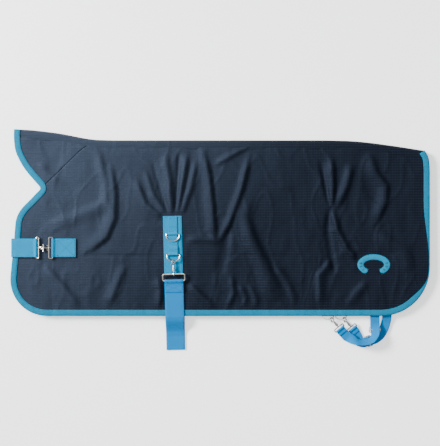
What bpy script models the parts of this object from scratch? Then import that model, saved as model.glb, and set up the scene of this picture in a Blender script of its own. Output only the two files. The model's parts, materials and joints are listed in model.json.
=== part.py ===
"""Turnout rug for a small pony, folded in half along its spine and lying on its off side.

+X runs towards the tail, +Y from the hem to the spine, +Z up. The origin is the middle of the
rug's box, on the floor. Sizes are in metres.
"""

import math

import bmesh
import bpy
from mathutils import Matrix, Vector

MM = 0.001
GAP = 0.3 * MM  # between pieces that touch
CUT = 10 * MM  # of a cutter beyond what it cuts

# The rug
LENGTH = 1092 * MM  # foremost front edge to tail edge
DROP = 457 * MM  # spine to hem
COLLAR_RISE = 29 * MM  # the collar's crest above the line of the spine
TAIL_FALL = 27 * MM  # the tail end of the topline below it
NOTCH_DEPTH = 125 * MM  # where the neck seam meets the neckline, below the spine
NOTCH_SETBACK = 81 * MM
NECK_SEAM_SETBACK = 208 * MM
FRONT_CORNER = 94 * MM  # radius of the lower front corner
REAR_CORNER = 125 * MM
SHELL = 0.9 * MM
FILL = 3.0 * MM
LINING = 0.8 * MM
BINDING = 1.0 * MM  # edge tape
BINDING_WIDTH = 16 * MM  # of the tape on each face

# Webbing and its wire fittings
WEBBING = 1.6 * MM  # thickness
WIDE = 49 * MM
NARROW = 24.5 * MM
RING_WIRE = 1.6 * MM  # radii of the wires
D_WIRE = 1.35 * MM
LOOP_WIRE = 2.1 * MM
SLIDER_WIRE = 1.3 * MM

# Chest fastening
CHEST_DEPTH = 280 * MM  # of its middle below the spine
CHEST_ROOT_LENGTH = 85 * MM
CHEST_RING_SETBACK = 68.6 * MM  # of the strap's bar from the front
CHEST_RING_DEPTH = 6.2 * MM
T_REACH = 19 * MM  # from the strap's bar to the crossbar
T_SPAN = 20 * MM
T_WIRE = 1.7 * MM
NOSE_WIRE = 1.2 * MM
CATCH_SETBACK = 111 * MM  # of the patch's bar from the front
CATCH_DEPTH = 10 * MM
CATCH_TILT = math.radians(16)
PATCH_LENGTH = 60 * MM

# Belly fastening, measured down from the top of its patch
BELLY_SETBACK = 422 * MM
BELLY_DEPTH = 197 * MM
BELLY_TILT = math.radians(1.4)
BELLY_PATCH = 150 * MM
UPPER_D = 47 * MM
LOWER_D = 100 * MM
D_SPARE = 9.5 * MM  # of a D's width beyond its tape's
D_REACH = 19 * MM
D_CORNER = 2.2 * MM
UPPER_D_LIFT = 0.7155 * MM  # of its bow above the tape
LOWER_D_TILT = math.radians(12)
LOOP_SPARE = 8 * MM  # of the loop's width beyond its strap's
LOOP_REACH = 18 * MM
STRAP_DROP = 91 * MM  # from the hem to the belly strap's fold
STRAP_RETURN = 150 * MM  # of the strap beneath the rug
STRAP_HEM = 30 * MM  # of the strap turned back round its loop

# Snaps
EYE = 5.0 * MM  # middle radius of the hook's eye
HOOK_WIRE = 1.4 * MM
HOOK_SEAT = 1.7 * MM  # of a held wire above the middle of the eye
HOOK_ROLL = math.radians(45)
BODY_RADIUS = 3.6 * MM
BODY_LENGTH = 15 * MM
POST_RADIUS = 1.5 * MM
SWIVEL_REACH = 30.5 * MM  # from the middle of the eye to the middle of the swivel
SWIVEL_SPARE = 3.5 * MM  # of the wide swivel beyond its strap
WIDE_SWIVEL_REACH = 7.5 * MM
SWIVEL_RISE = 1 * MM  # of the wide swivel above the round one's place

# Leg straps, at the rear of the hem
LEG_D_REACH = 13 * MM
LEG_TAB = 30 * MM
LEG_D_INSET = 1.5 * MM  # of the bar inside the hem
NEAR_TAB = 264 * MM  # from the tail edge
TAB_PLAY = 0.25 * MM  # on each side of a tab, between the linings
TAB_SPACE = 3 * MM  # between the two D's
HEM_EXIT = 31 * MM  # along a strap, where it comes out past the hem
HEM_EASE = 20 * MM
STRAIGHT = 24 * MM  # of a strap before its snap
HELD_LEAN = math.radians(38)  # round the D's bow
SNAP_HEADING = math.radians(40)
SLIDER_LENGTH = 13 * MM

# Horseshoe
EMBLEM_LENGTH = 84 * MM
EMBLEM_WIDTH = 54 * MM
EMBLEM_BAND = 13 * MM
EMBLEM_THICKNESS = 0.8 * MM
EMBLEM_SETBACK = 146 * MM  # of its middle from the tail edge
EMBLEM_RISE = 133 * MM  # above the hem

# Worked out from the values above
RING_CORNER = 1.5 * RING_WIRE
RING_SPAN = WIDE + 2 * (RING_CORNER + GAP)
LEG_D_SPAN = NARROW + 2 * (D_CORNER - GAP)
D_SPAN = NARROW + D_SPARE
UPPER_D_TILT = math.asin((WEBBING + UPPER_D_LIFT) / D_REACH)
LOOP_SPAN = WIDE + LOOP_SPARE
WIDE_SWIVEL_SPAN = NARROW + SWIVEL_SPARE
OFF_TAB = NEAR_TAB - LEG_D_SPAN - 2 * D_WIRE - TAB_SPACE
HALF_GAP = 2 * (D_WIRE + WEBBING + TAB_PLAY - BINDING)  # between the folded halves' tapes
FRONT_X = -LENGTH / 2
TAIL_X = LENGTH / 2
SPINE_Y = (DROP + STRAP_DROP - COLLAR_RISE) / 2
HEM_Y = SPINE_Y - DROP
SHELL_BASE = max(BINDING, WEBBING) + GAP
FILL_BASE = SHELL_BASE + SHELL + GAP
LINING_BASE = FILL_BASE + FILL + GAP
LINING_TOP = LINING_BASE + LINING
HALF = LINING_TOP + GAP + BINDING
RUG_TOP = 2 * HALF + HALF_GAP
SHELL_TOP = RUG_TOP - SHELL_BASE
PATCH_TOP = SHELL_TOP + GAP + WEBBING
EDGE = BINDING + GAP  # of the cloth inside the tape
MID_Z = RUG_TOP / 2

NAVY = (0.012, 0.022, 0.045)
BLUE = (0.035, 0.330, 0.620)
STEEL = (0.620, 0.600, 0.550)
WHITE = (0.700, 0.700, 0.680)


# Scene and materials

def clear_scene():
    for item in list(bpy.data.objects):
        bpy.data.objects.remove(item, do_unlink=True)


def new_collection(name):
    collection = bpy.data.collections.new(name)
    bpy.context.scene.collection.children.link(collection)
    return collection


def finish(item, colour, roughness=0.8, metallic=0.0):
    material = bpy.data.materials.new(item.name)
    material.use_nodes = True
    shader = material.node_tree.nodes["Principled BSDF"]
    shader.inputs["Base Color"].default_value = (*colour, 1)
    shader.inputs["Roughness"].default_value = roughness
    shader.inputs["Metallic"].default_value = metallic
    item.data.materials.clear()
    item.data.materials.append(material)
    item.data.shade_smooth()
    item.data.set_sharp_from_angle(angle=math.radians(35))
    return item


def as_mesh(curve_object, collection):
    """A mesh copy of a curve object, with its caps welded on; the curve is removed."""
    depsgraph = bpy.context.evaluated_depsgraph_get()
    mesh = bpy.data.meshes.new_from_object(curve_object.evaluated_get(depsgraph))
    shape = bmesh.new()
    shape.from_mesh(mesh)
    bmesh.ops.remove_doubles(shape, verts=shape.verts, dist=0.00001)
    bmesh.ops.recalc_face_normals(shape, faces=shape.faces)
    shape.to_mesh(mesh)
    shape.free()
    item = bpy.data.objects.new(curve_object.name + "_solid", mesh)
    item.matrix_world = curve_object.matrix_world
    name = curve_object.name
    bpy.data.objects.remove(curve_object, do_unlink=True)
    item.name = name
    collection.objects.link(item)
    return item


def add_curve(name, splines, matrix, **settings):
    curve = bpy.data.curves.new(name, "CURVE")
    for key, value in settings.items():
        setattr(curve, key, value)
    for points, closed in splines:
        spline = curve.splines.new("POLY")
        spline.points.add(len(points) - 1)
        for place, point in zip(spline.points, points):
            place.co = (*point, 1) if len(point) == 3 else (*point, 0, 1)
        spline.use_cyclic_u = closed
    item = bpy.data.objects.new(name, curve)
    item.matrix_world = matrix
    bpy.context.scene.collection.objects.link(item)
    bpy.context.view_layer.update()
    return item


def plate(name, outline, low, high, collection, matrix=Matrix()):
    """A flat outline with a thickness, from low to high along the matrix's Z."""
    lift = Matrix.Translation((0, 0, (low + high) / 2))
    item = add_curve(name, [(outline, True)], matrix @ lift, dimensions="2D", fill_mode="BOTH",
                     extrude=(high - low) / 2)
    return as_mesh(item, collection)


def wire(name, points, radius, collection, matrix=Matrix(), closed=False):
    item = add_curve(name, [(points, closed)], matrix, dimensions="3D", bevel_depth=radius,
                     bevel_resolution=2, use_fill_caps=True)
    return as_mesh(item, collection)


def boolean(item, cutter, operation="DIFFERENCE"):
    modifier = item.modifiers.new(operation.title(), "BOOLEAN")
    modifier.operation = operation
    modifier.object = cutter
    modifier.solver = "EXACT"
    cutter.hide_render = True
    cutter.display_type = "WIRE"


def block(name, low, high, collection, matrix=Matrix()):
    """A box between two corners."""
    mesh = bpy.data.meshes.new(name)
    shape = bmesh.new()
    bmesh.ops.create_cube(shape, size=1)
    size = Vector(high) - Vector(low)
    middle = (Vector(high) + Vector(low)) / 2
    bmesh.ops.scale(shape, vec=size, verts=shape.verts)
    bmesh.ops.translate(shape, vec=middle, verts=shape.verts)
    shape.to_mesh(mesh)
    shape.free()
    item = bpy.data.objects.new(name, mesh)
    item.matrix_world = matrix
    collection.objects.link(item)
    return item


def hang(name, place, items, parent=None):
    """An empty on a joint's axis, which carries the pieces that turn or slide there."""
    pivot = bpy.data.objects.new(name, None)
    pivot.empty_display_size = 0.01
    pivot.location = place
    bpy.context.scene.collection.objects.link(pivot)
    bpy.context.view_layer.update()
    for item in items:
        item.parent = pivot
        item.matrix_parent_inverse = pivot.matrix_world.inverted()
    if parent:
        pivot.parent = parent
        pivot.matrix_parent_inverse = parent.matrix_world.inverted()
    bpy.context.view_layer.update()
    return pivot


# Outlines and paths

def smooth(points, steps=4):
    """A Catmull-Rom curve through the points."""
    points = [Vector(point) for point in points]
    ends = [2 * points[0] - points[1], *points, 2 * points[-1] - points[-2]]
    curve = [points[0]]
    for before, start, end, after in zip(ends, ends[1:], ends[2:], ends[3:]):
        for index in range(1, steps + 1):
            t = index / steps
            curve.append(0.5 * (2 * start + (end - before) * t
                                + (2 * before - 5 * start + 4 * end - after) * t * t
                                + (3 * start - before - 3 * end + after) * t ** 3))
    return curve


def arc(centre, radius, start, end, steps):
    """Points on a circle, with the angles in degrees."""
    points = []
    for index in range(steps + 1):
        angle = math.radians(start + (end - start) * index / steps)
        points.append(Vector((centre[0] + radius * math.cos(angle),
                              centre[1] + radius * math.sin(angle))))
    return points


def topline():
    """The folded spine from the collar's front corner to the tail."""
    collar = [(10, 1), (60, 0.9), (130, 0.6), (208, 0.1), (270, 0)]
    front = [(FRONT_X + x * MM, SPINE_Y + rise * COLLAR_RISE) for x, rise in collar]
    croup = [(273, 0), (190, 0.1), (100, 0.5), (13, 1)]
    back = [(TAIL_X - x * MM, SPINE_Y - fall * TAIL_FALL) for x, fall in croup]
    return smooth(front) + smooth(back)


def bound_edge():
    """The taped edge, from the tail round the hem to the collar's front corner."""
    tail = smooth([(TAIL_X - 13 * MM, SPINE_Y - TAIL_FALL), (TAIL_X - 3 * MM, SPINE_Y - 45 * MM),
                   (TAIL_X, SPINE_Y - 75 * MM)])
    rear = arc((TAIL_X - REAR_CORNER, HEM_Y + REAR_CORNER), REAR_CORNER, 0, -90, 9)
    fore = arc((FRONT_X + FRONT_CORNER, HEM_Y + FRONT_CORNER), FRONT_CORNER, -90, -180, 8)
    notch = (FRONT_X + NOTCH_SETBACK, SPINE_Y - NOTCH_DEPTH)
    throat = notch[1] - 72 * MM
    breast = [(4, 0.723), (10, 0.392), (13, 0.139)]
    front = [fore[-1]] + [(FRONT_X + x * MM, throat - share * (throat - fore[-1].y)) for x, share in breast]
    front += [(FRONT_X + x * MM, notch[1] - y * MM) for x, y in [(18, 72), (31, 51), (52, 30), (70, 11)]]
    front += [notch]
    neck = [(53, 93), (36, 72), (24, 51), (13, 25), (9, -10)]
    collar = [notch] + [(FRONT_X + x * MM, SPINE_Y - y * MM) for x, y in neck]
    return tail[1:] + rear + fore + smooth(front, 2)[1:] + smooth(collar, 3)[1:]


def outline(inset, top_inset=0.0):
    """A half's outline, drawn in by one distance at its taped edge and another at its topline."""
    top = topline()
    points = [Vector(point) for point in top + bound_edge()]
    count = len(points)
    result = []
    for index, point in enumerate(points):
        before = (point - points[index - 1]).normalized()
        after = (points[(index + 1) % count] - point).normalized()
        near = top_inset if 0 < index < len(top) else inset
        far = top_inset if index < len(top) - 1 else inset
        first = Vector((before.y, -before.x))
        second = Vector((after.y, -after.x))
        cross = first.x * second.y - first.y * second.x
        if abs(cross) < 0.02:
            result.append(point + (first + second).normalized() * far)
            continue
        a = first.dot(point) + near
        b = second.dot(point) + far
        result.append(Vector(((a * second.y - b * first.y) / cross,
                              (b * first.x - a * second.x) / cross)))
    return result


def split(points, start, end, shift):
    """The part of an outline to the right of a line, which is moved to the right by shift."""
    along = (Vector(end) - Vector(start)).normalized()
    right = Vector((along.y, -along.x))
    place = right.dot(Vector(start)) + shift
    kept = []
    for index, point in enumerate(points):
        last = points[index - 1]
        before = right.dot(last) - place
        now = right.dot(point) - place
        if before * now < 0:
            kept.append(last + (point - last) * before / (before - now))
        if now >= 0:
            kept.append(point)
    return kept


def rounded(width, height, radius, steps=4):
    """A rounded rectangle about the origin, as a closed path."""
    x = width / 2 - radius
    y = height / 2 - radius
    return (arc((x, y), radius, 0, 90, steps) + arc((-x, y), radius, 90, 180, steps)
            + arc((-x, -y), radius, 180, 270, steps) + arc((x, -y), radius, 270, 360, steps))


def ribbon(name, path, sides, widths, thickness, collection, matrix=Matrix()):
    """Webbing: a flat rectangle carried along a path, with its width along the given sides."""
    shape = bmesh.new()
    rings = []
    for index, point in enumerate(path):
        before = (point - path[max(index - 1, 0)]).normalized()
        after = (path[min(index + 1, len(path) - 1)] - point).normalized()
        tangent = (before + after).normalized()
        turn = max(tangent.dot(before), tangent.dot(after), 0.5) if index in (0, len(path) - 1) \
            else max(tangent.dot(before), 0.5)
        side = sides[index].normalized() * widths[index] / 2
        lift = side.cross(tangent).normalized() * thickness / 2 / turn
        corners = (side + lift, -side + lift, -side - lift, side - lift)
        rings.append([shape.verts.new(point + corner) for corner in corners])
    for ring, following in zip(rings, rings[1:]):
        for corner in range(4):
            other = (corner + 1) % 4
            shape.faces.new((ring[corner], ring[other], following[other], following[corner]))
    shape.faces.new(rings[0])
    shape.faces.new(reversed(rings[-1]))
    bmesh.ops.recalc_face_normals(shape, faces=shape.faces)
    mesh = bpy.data.meshes.new(name)
    shape.to_mesh(mesh)
    shape.free()
    item = bpy.data.objects.new(name, mesh)
    item.matrix_world = matrix
    collection.objects.link(item)
    return item


def band(name, path, width, collection, matrix):
    """Webbing whose path is drawn as (distance, height) in the matrix's X and Z."""
    points = [Vector((x, 0, z)) for x, z in path]
    side = Vector((0, 1, 0))
    return ribbon(name, points, [side] * len(points), [width] * len(points), WEBBING,
                  collection, matrix)


def loop_round(bar, base, radius, slope=32, steps=9):
    """The path of webbing that runs beneath a bar, turns up round it and comes down on itself."""
    reach = radius + GAP + WEBBING / 2
    centre = (bar, base + reach)
    turn = arc(centre, reach, -90, 90 + slope, steps)
    end = turn[-1]
    second = base + WEBBING + GAP
    fall = (end.y - second) / math.tan(math.radians(slope))
    return turn + [Vector((end.x - fall, second))]


def bar_height(base, radius):
    """The height of a bar's middle above the path of the webbing beneath it."""
    return base + radius + GAP + WEBBING / 2


# The rug's halves

def span(near, start, end):
    """Heights of a layer, from its distances inside the half's outer face."""
    return (RUG_TOP - end, RUG_TOP - start) if near else (start, end)


def make_half(side, parts, cutters):
    near = side == "near"
    seam_top = (FRONT_X + NECK_SEAM_SETBACK + 6 * MM, SPINE_Y + 4 * MM)
    notch = (FRONT_X + NOTCH_SETBACK, SPINE_Y - NOTCH_DEPTH)
    cloth = outline(EDGE)
    shell = span(near, SHELL_BASE, SHELL_BASE + SHELL)
    body = split(cloth, notch, seam_top, GAP)
    collar = split(cloth, seam_top, notch, GAP)
    finish(plate(side + "_body_shell", body, *shell, parts), NAVY)
    finish(plate(side + "_collar_shell", collar, *shell, parts), NAVY)
    finish(plate(side + "_fill", cloth, *span(near, FILL_BASE, FILL_BASE + FILL), parts), WHITE)
    finish(plate(side + "_lining", cloth, *span(near, LINING_BASE, LINING_TOP), parts), NAVY)
    binding = plate(side + "_binding", outline(0), *span(near, 0, HALF), parts)
    middle = plate(side + "_binding_middle", outline(BINDING_WIDTH, -BINDING_WIDTH),
                   *span(near, -HALF, 2 * HALF), cutters)
    pocket = plate(side + "_binding_pocket", outline(BINDING, -2 * BINDING_WIDTH),
                   *span(near, BINDING, HALF - BINDING), cutters)
    boolean(binding, middle)
    boolean(binding, pocket)
    finish(binding, BLUE)
    return binding


def make_spine_seam(parts):
    """The taped seam allowance inside the fold, which the near half lies on."""
    radius = (HALF_GAP + 2 * (BINDING + GAP)) / 2 - GAP
    reach = BINDING_WIDTH + radius
    low = FRONT_X + reach + 14 * MM
    high = TAIL_X - reach - 12 * MM
    line = [point for point in topline() if low < point.x < high]
    path = [(point.x, point.y - radius, MID_Z) for point in line]
    finish(wire("spine_seam", path, radius, parts), NAVY)


# Chest fastening

def chest_wall():
    """Where the off strap turns up, clear of the front edge all along its width."""
    middle = SPINE_Y - CHEST_DEPTH
    points = [point for point in outline(0) if point.x < 0]
    edge = []
    for start, end in zip(points, points[1:]):
        for index in range(11):
            place = start.lerp(end, index / 10)
            if abs(place.y - middle) < WIDE / 2 + 3 * MM:
                edge.append(place.x)
    return min(edge) - GAP - WEBBING / 2


def make_chest(parts, cutters, off_binding):
    middle = SPINE_Y - CHEST_DEPTH
    here = Matrix.Translation((0, middle, 0))
    wall = chest_wall()
    low = WEBBING / 2
    tight = WEBBING / 2 + GAP
    hinge_z = RUG_TOP - 2 * MM
    root = [(FRONT_X + CHEST_ROOT_LENGTH, low)]
    root += arc((wall + tight, low + tight), tight, 270, 180, 4)
    root += [(wall, hinge_z)]
    finish(band("chest_strap_root", root, WIDE, parts, here), BLUE)
    low_corner = (FRONT_X - CUT, -WIDE / 2 - 2 * GAP, -CUT)
    high_corner = (FRONT_X + CHEST_ROOT_LENGTH + BINDING_WIDTH, WIDE / 2 + 2 * GAP, SHELL_BASE - GAP / 2)
    notch = block("chest_root_notch", low_corner, high_corner, cutters, here)
    boolean(off_binding, notch)

    lie = RUG_TOP + GAP + WEBBING / 2
    bar = FRONT_X + CHEST_RING_SETBACK
    path = [(wall, hinge_z + GAP)]
    path += arc((wall + tight, lie - tight), tight, 180, 90, 4)
    path += loop_round(bar, lie, RING_WIRE)
    path += [(wall + tight + 4 * MM, lie + WEBBING + GAP)]
    strap = finish(band("chest_strap", path, WIDE, parts, here), BLUE)

    height = bar_height(lie, RING_WIRE)
    frame = Matrix.Translation((bar, middle, height))
    ring = rounded(CHEST_RING_DEPTH, RING_SPAN, RING_CORNER)
    ring = [(x + CHEST_RING_DEPTH / 2, y, 0) for x, y in ring]
    hook = wire("chest_hook", ring, RING_WIRE, parts, frame, closed=True)
    dome = CHEST_RING_DEPTH + 7.3 * MM
    neck = wire("chest_hook_neck", [(CHEST_RING_DEPTH, 0, 0), (dome - 2 * MM, 0, 0)], T_WIRE * 0.9,
                cutters, frame)
    eyelet = wire("chest_hook_eyelet", [(dome + x, y, 0) for x, y in arc((0, 0), 3.2 * MM, 0, 337.5, 15)],
                  T_WIRE, cutters, frame, closed=True)
    crossbar = wire("chest_hook_crossbar", [(T_REACH - 1.5 * MM, -T_SPAN / 2, 0),
                                            (T_REACH - 0.4 * MM, -T_SPAN / 4, 0), (T_REACH, 0, 0),
                                            (T_REACH - 0.4 * MM, T_SPAN / 4, 0),
                                            (T_REACH - 1.5 * MM, T_SPAN / 2, 0)], T_WIRE, cutters, frame)
    catch_bar = CATCH_SETBACK - CHEST_RING_SETBACK
    catch_height = bar_height(SHELL_TOP + GAP + WEBBING / 2, RING_WIRE) - height
    front_bar = catch_bar - CATCH_DEPTH * math.cos(CATCH_TILT)
    under = catch_height + CATCH_DEPTH * math.sin(CATCH_TILT) - RING_WIRE - NOSE_WIRE - 1.5 * GAP
    nose_path = smooth([(T_REACH - 1 * MM, 0, 0), (T_REACH + 3 * MM, 0, -0.3 * MM),
                        (front_bar - 3 * MM, 0, under + 0.4 * MM), (front_bar, 0, under),
                        (front_bar + 2.6 * MM, 0, under + 0.5 * MM),
                        (front_bar + 3.7 * MM, 0, under + 2.4 * MM)], 3)
    nose = wire("chest_hook_nose", nose_path, NOSE_WIRE, cutters, frame)
    for piece in (neck, eyelet, crossbar, nose):
        boolean(hook, piece, "UNION")
    finish(hook, STEEL, 0.3, 1.0)
    swing = hang("chest_strap_axis", (wall - WEBBING / 2, middle, hinge_z + GAP / 2), [strap])
    hang("chest_hook_axis", (bar, middle, height), [hook], swing)

    base = SHELL_TOP + GAP + WEBBING / 2
    catch_x = FRONT_X + CATCH_SETBACK
    turned = Matrix.Translation((catch_x, middle, 0)) @ Matrix.Rotation(math.pi, 4, "Z")
    patch = [(-PATCH_LENGTH, base)] + loop_round(0, base, RING_WIRE) + [(-PATCH_LENGTH, base + WEBBING + GAP)]
    finish(band("near_chest_patch", patch, WIDE, parts, turned), BLUE)
    catch_frame = Matrix.Translation((catch_x, middle, bar_height(base, RING_WIRE))) \
        @ Matrix.Rotation(CATCH_TILT, 4, "Y")
    ring = [(x - CATCH_DEPTH / 2, y, 0) for x, y in rounded(CATCH_DEPTH, RING_SPAN, RING_CORNER)]
    catch = wire("chest_catch", ring, RING_WIRE, parts, catch_frame, closed=True)
    for sign in (-1, 1):
        claw = [(-CATCH_DEPTH, sign * 6.5 * MM, 0), (-CATCH_DEPTH - 3.5 * MM, sign * 5.6 * MM, 0),
                (-CATCH_DEPTH - 4.4 * MM, sign * 4.2 * MM, 0)]
        claw = wire("chest_catch_claw_" + str(sign), claw, RING_WIRE * 0.85, cutters, catch_frame)
        boolean(catch, claw, "UNION")
    finish(catch, STEEL, 0.3, 1.0)


# Snaps and rings

def make_d_ring(name, frame, d_span, d_reach, collection):
    """A D: its bar lies along the frame's X, and its bow hangs down the frame's Y."""
    half = d_span / 2
    corner = D_CORNER
    bow = []
    for index in range(13):
        angle = math.radians(180 + 180 * index / 12)
        bow.append((half * math.cos(angle), -corner * 1.6 + (d_reach - corner * 1.6) * math.sin(angle), 0))
    path = [(half - corner, 0, 0), (-half + corner, 0, 0), (-half + corner * 0.3, -corner * 0.3, 0)]
    path += bow + [(half - corner * 0.3, -corner * 0.3, 0)]
    return finish(wire(name, path, D_WIRE, collection, frame, closed=True), STEEL, 0.3, 1.0)


def make_snap(prefix, frame, roll, wide, parts, cutters):
    """A trigger snap about the middle of its eye, with its body down the frame's -Y."""
    rolled = frame @ Matrix.Rotation(roll, 4, "Y")
    throat = -EYE - HOOK_WIRE
    start = throat - 2.5 * MM
    crook = [(0, start), (0.2 * MM, throat - 0.6 * MM), (1.3 * MM, -EYE * 1.02)]
    crook += arc((0, 0), EYE, -55, 160, 14)
    hook = wire(prefix + "_hook", [(x, y, 0) for x, y in crook], HOOK_WIRE, parts, rolled)
    bottom = throat - BODY_LENGTH
    bore = POST_RADIUS + GAP
    profile = [(0.0, throat - 0.4 * MM), (HOOK_WIRE * 1.4, throat - 0.8 * MM),
               (BODY_RADIUS * 0.72, throat - 4 * MM), (BODY_RADIUS * 0.8, bottom + 6 * MM),
               (BODY_RADIUS, bottom + 4.5 * MM),
               (BODY_RADIUS, bottom + 1 * MM), (BODY_RADIUS * 0.8, bottom), (bore, bottom),
               (bore, bottom + 5 * MM), (0.0, bottom + 5 * MM)]
    barrel = turned_solid(prefix + "_barrel", profile, 12, cutters, rolled)
    boolean(hook, barrel, "UNION")
    finish(hook, STEEL, 0.3, 1.0)
    lean = EYE * math.cos(math.radians(20))
    gate_outline = [(-2.5 * MM - HOOK_WIRE, throat - 1 * MM), (-lean + 1 * MM, EYE * 0.06),
                    (-lean - 1 * MM, EYE * 0.06), (-lean - 1.3 * MM, throat * 0.45),
                    (-lean - 3 * MM, throat * 0.7), (-lean - 2.6 * MM, throat * 0.95),
                    (-2.5 * MM - HOOK_WIRE - 1.8 * MM, throat - 1.2 * MM)]
    gate = plate(prefix + "_gate", gate_outline, -1 * MM, 1 * MM, parts, rolled)
    finish(gate, STEEL, 0.3, 1.0)
    if wide:
        top = -SWIVEL_REACH + WIDE_SWIVEL_REACH / 2 + SWIVEL_RISE
        path = [(x, y + top - WIDE_SWIVEL_REACH / 2, 0)
                for x, y in rounded(WIDE_SWIVEL_SPAN, WIDE_SWIVEL_REACH, 2.4 * MM, 3)]
        swivel = wire(prefix + "_swivel", path, POST_RADIUS * 0.9, parts, frame, closed=True)
    else:
        radius = LOOP_WIRE + 2 * GAP + POST_RADIUS
        path = [(0, -SWIVEL_REACH + a, b) for a, b in arc((0, 0), radius, 0, 337.5, 15)]
        top = -SWIVEL_REACH + radius
        swivel = wire(prefix + "_swivel", path, POST_RADIUS, parts, frame, closed=True)
    post = wire(prefix + "_post", [(0, top - 0.3 * MM, 0), (0, bottom + 4.5 * MM, 0)], POST_RADIUS * 0.98,
                cutters, frame)
    boolean(swivel, post, "UNION")
    finish(swivel, STEEL, 0.3, 1.0)
    return hook, gate, swivel


def turned_solid(name, profile, steps, collection, matrix):
    """A profile of (radius, place) turned about the matrix's Y."""
    mesh = bpy.data.meshes.new(name)
    shape = bmesh.new()
    line = [shape.verts.new((x, y, 0)) for x, y in profile]
    edges = [shape.edges.new(pair) for pair in zip(line, line[1:])]
    bmesh.ops.spin(shape, geom=line + edges, cent=(0, 0, 0), axis=(0, 1, 0), angle=math.tau,
                   steps=steps, use_merge=True, use_duplicate=False)
    bmesh.ops.remove_doubles(shape, verts=shape.verts, dist=0.00001)
    bmesh.ops.recalc_face_normals(shape, faces=shape.faces)
    shape.to_mesh(mesh)
    shape.free()
    item = bpy.data.objects.new(name, mesh)
    item.matrix_world = matrix
    collection.objects.link(item)
    return item


def local_band(name, path, width, frame, collection):
    """Webbing drawn as (distance down the frame's -Y, height)."""
    down = frame @ Matrix.Rotation(-math.pi / 2, 4, "Z")
    return band(name, path, width, collection, down)


def make_belly(parts, cutters, off_binding):
    frame = Matrix.Translation((FRONT_X + BELLY_SETBACK, SPINE_Y - BELLY_DEPTH, 0)) \
        @ Matrix.Rotation(BELLY_TILT, 4, "Z")
    sewn = SHELL_TOP + GAP + WEBBING / 2
    finish(local_band("belly_patch", [(0, sewn), (BELLY_PATCH, sewn)], WIDE, frame, parts), BLUE)

    tape = PATCH_TOP + GAP + WEBBING / 2
    hump = PATCH_TOP + GAP + D_WIRE
    over = D_WIRE + GAP + WEBBING / 2
    rise = arc((UPPER_D, hump), over, 40, 140, 6)
    foot = (rise[0].y - tape) * math.tan(math.radians(40))
    path = [(LOWER_D - 16 * MM, tape)] + loop_round(LOWER_D, tape, D_WIRE)
    path += [(LOWER_D - 17.5 * MM, tape + WEBBING + GAP), (LOWER_D - 22 * MM, tape)]
    path += [(rise[0].x + foot, tape)] + rise + [(rise[-1].x - foot, tape), (2 * MM, tape)]
    finish(local_band("d_ring_tape", path, NARROW, frame, parts), BLUE)

    upper = frame @ Matrix.Translation((0, -UPPER_D, hump)) @ Matrix.Rotation(-UPPER_D_TILT, 4, "X")
    upper_d = make_d_ring("upper_d_ring", upper, D_SPAN, D_REACH, parts)
    hang("upper_d_ring_axis", upper.translation, [upper_d])
    bar_z = bar_height(tape, D_WIRE)
    lower = frame @ Matrix.Translation((0, -LOWER_D, bar_z)) @ Matrix.Rotation(-LOWER_D_TILT, 4, "X")
    make_d_ring("lower_d_ring", lower, D_SPAN, D_REACH, parts)

    held = LOWER_D + D_REACH * math.cos(LOWER_D_TILT)
    held_z = bar_z + D_REACH * math.sin(LOWER_D_TILT)
    eye = frame @ Matrix.Translation((0, -held - HOOK_SEAT, held_z))
    hook, gate, swivel = make_snap("belly_snap", eye, HOOK_ROLL, False, parts, cutters)

    top_bar = held + HOOK_SEAT + SWIVEL_REACH
    flat = RUG_TOP + GAP + WEBBING / 2
    low_z = bar_height(flat, LOOP_WIRE)
    slope = math.asin((held_z - low_z) / LOOP_REACH)
    low_bar = top_bar + LOOP_REACH * math.cos(slope)
    ring_frame = frame @ Matrix.Translation((0, -low_bar, low_z)) @ Matrix.Rotation(slope, 4, "X")
    ring = [(x, y + LOOP_REACH / 2, 0) for x, y in rounded(LOOP_SPAN, LOOP_REACH, 4.4 * MM)]
    ring = finish(wire("belly_ring", ring, LOOP_WIRE, parts, ring_frame, closed=True), STEEL, 0.3, 1.0)

    hem = (frame.translation.y - HEM_Y) / math.cos(BELLY_TILT)
    fold = hem + (STRAP_DROP - WIDE / 2 * math.sin(BELLY_TILT)) / math.cos(BELLY_TILT)
    low = WEBBING / 2
    rest = low + WEBBING + GAP
    second = flat + WEBBING + GAP
    turn = [Vector((2 * low_bar - x, z)) for x, z in loop_round(low_bar, flat, LOOP_WIRE)]
    path = [(low_bar + STRAP_HEM, second)] + list(reversed(turn))
    path += smooth([(hem + 4 * MM, flat), (hem + 16 * MM, flat - 3.5 * MM),
                    (hem + 38 * MM, rest + 3.5 * MM), (hem + 54 * MM, rest)], 4)
    path += [(fold, rest)]
    strap = finish(local_band("belly_strap", path, WIDE, frame, parts), BLUE)
    root = [(fold - STRAP_RETURN, low), (fold - GAP, low)]
    finish(local_band("belly_strap_root", root, WIDE, frame, parts), BLUE)
    low_corner = (-WIDE / 2 - 2 * GAP, -fold, -CUT)
    high_corner = (WIDE / 2 + 2 * GAP, -fold + STRAP_RETURN + BINDING_WIDTH, SHELL_BASE - GAP / 2)
    notch = block("belly_root_notch", low_corner, high_corner, cutters, frame)
    boolean(off_binding, notch)
    strap_axis = hang("belly_strap_axis", frame @ Vector((0, -fold, low + (WEBBING + GAP) / 2)), [strap])
    ring_axis = hang("belly_ring_axis", ring_frame.translation, [ring], strap_axis)
    top_axis = hang("belly_swivel_axis", frame @ Vector((0, -top_bar, held_z)), [swivel], ring_axis)
    turn_axis = hang("belly_snap_axis", eye.translation, [hook], top_axis)
    hang("belly_gate_axis", gate_pivot(eye, HOOK_ROLL), [gate], turn_axis)


def gate_pivot(frame, roll):
    rolled = frame @ Matrix.Rotation(roll, 4, "Y")
    return rolled @ Vector((-2.5 * MM - HOOK_WIRE, -EYE - HOOK_WIRE - 1 * MM, 0))


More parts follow.
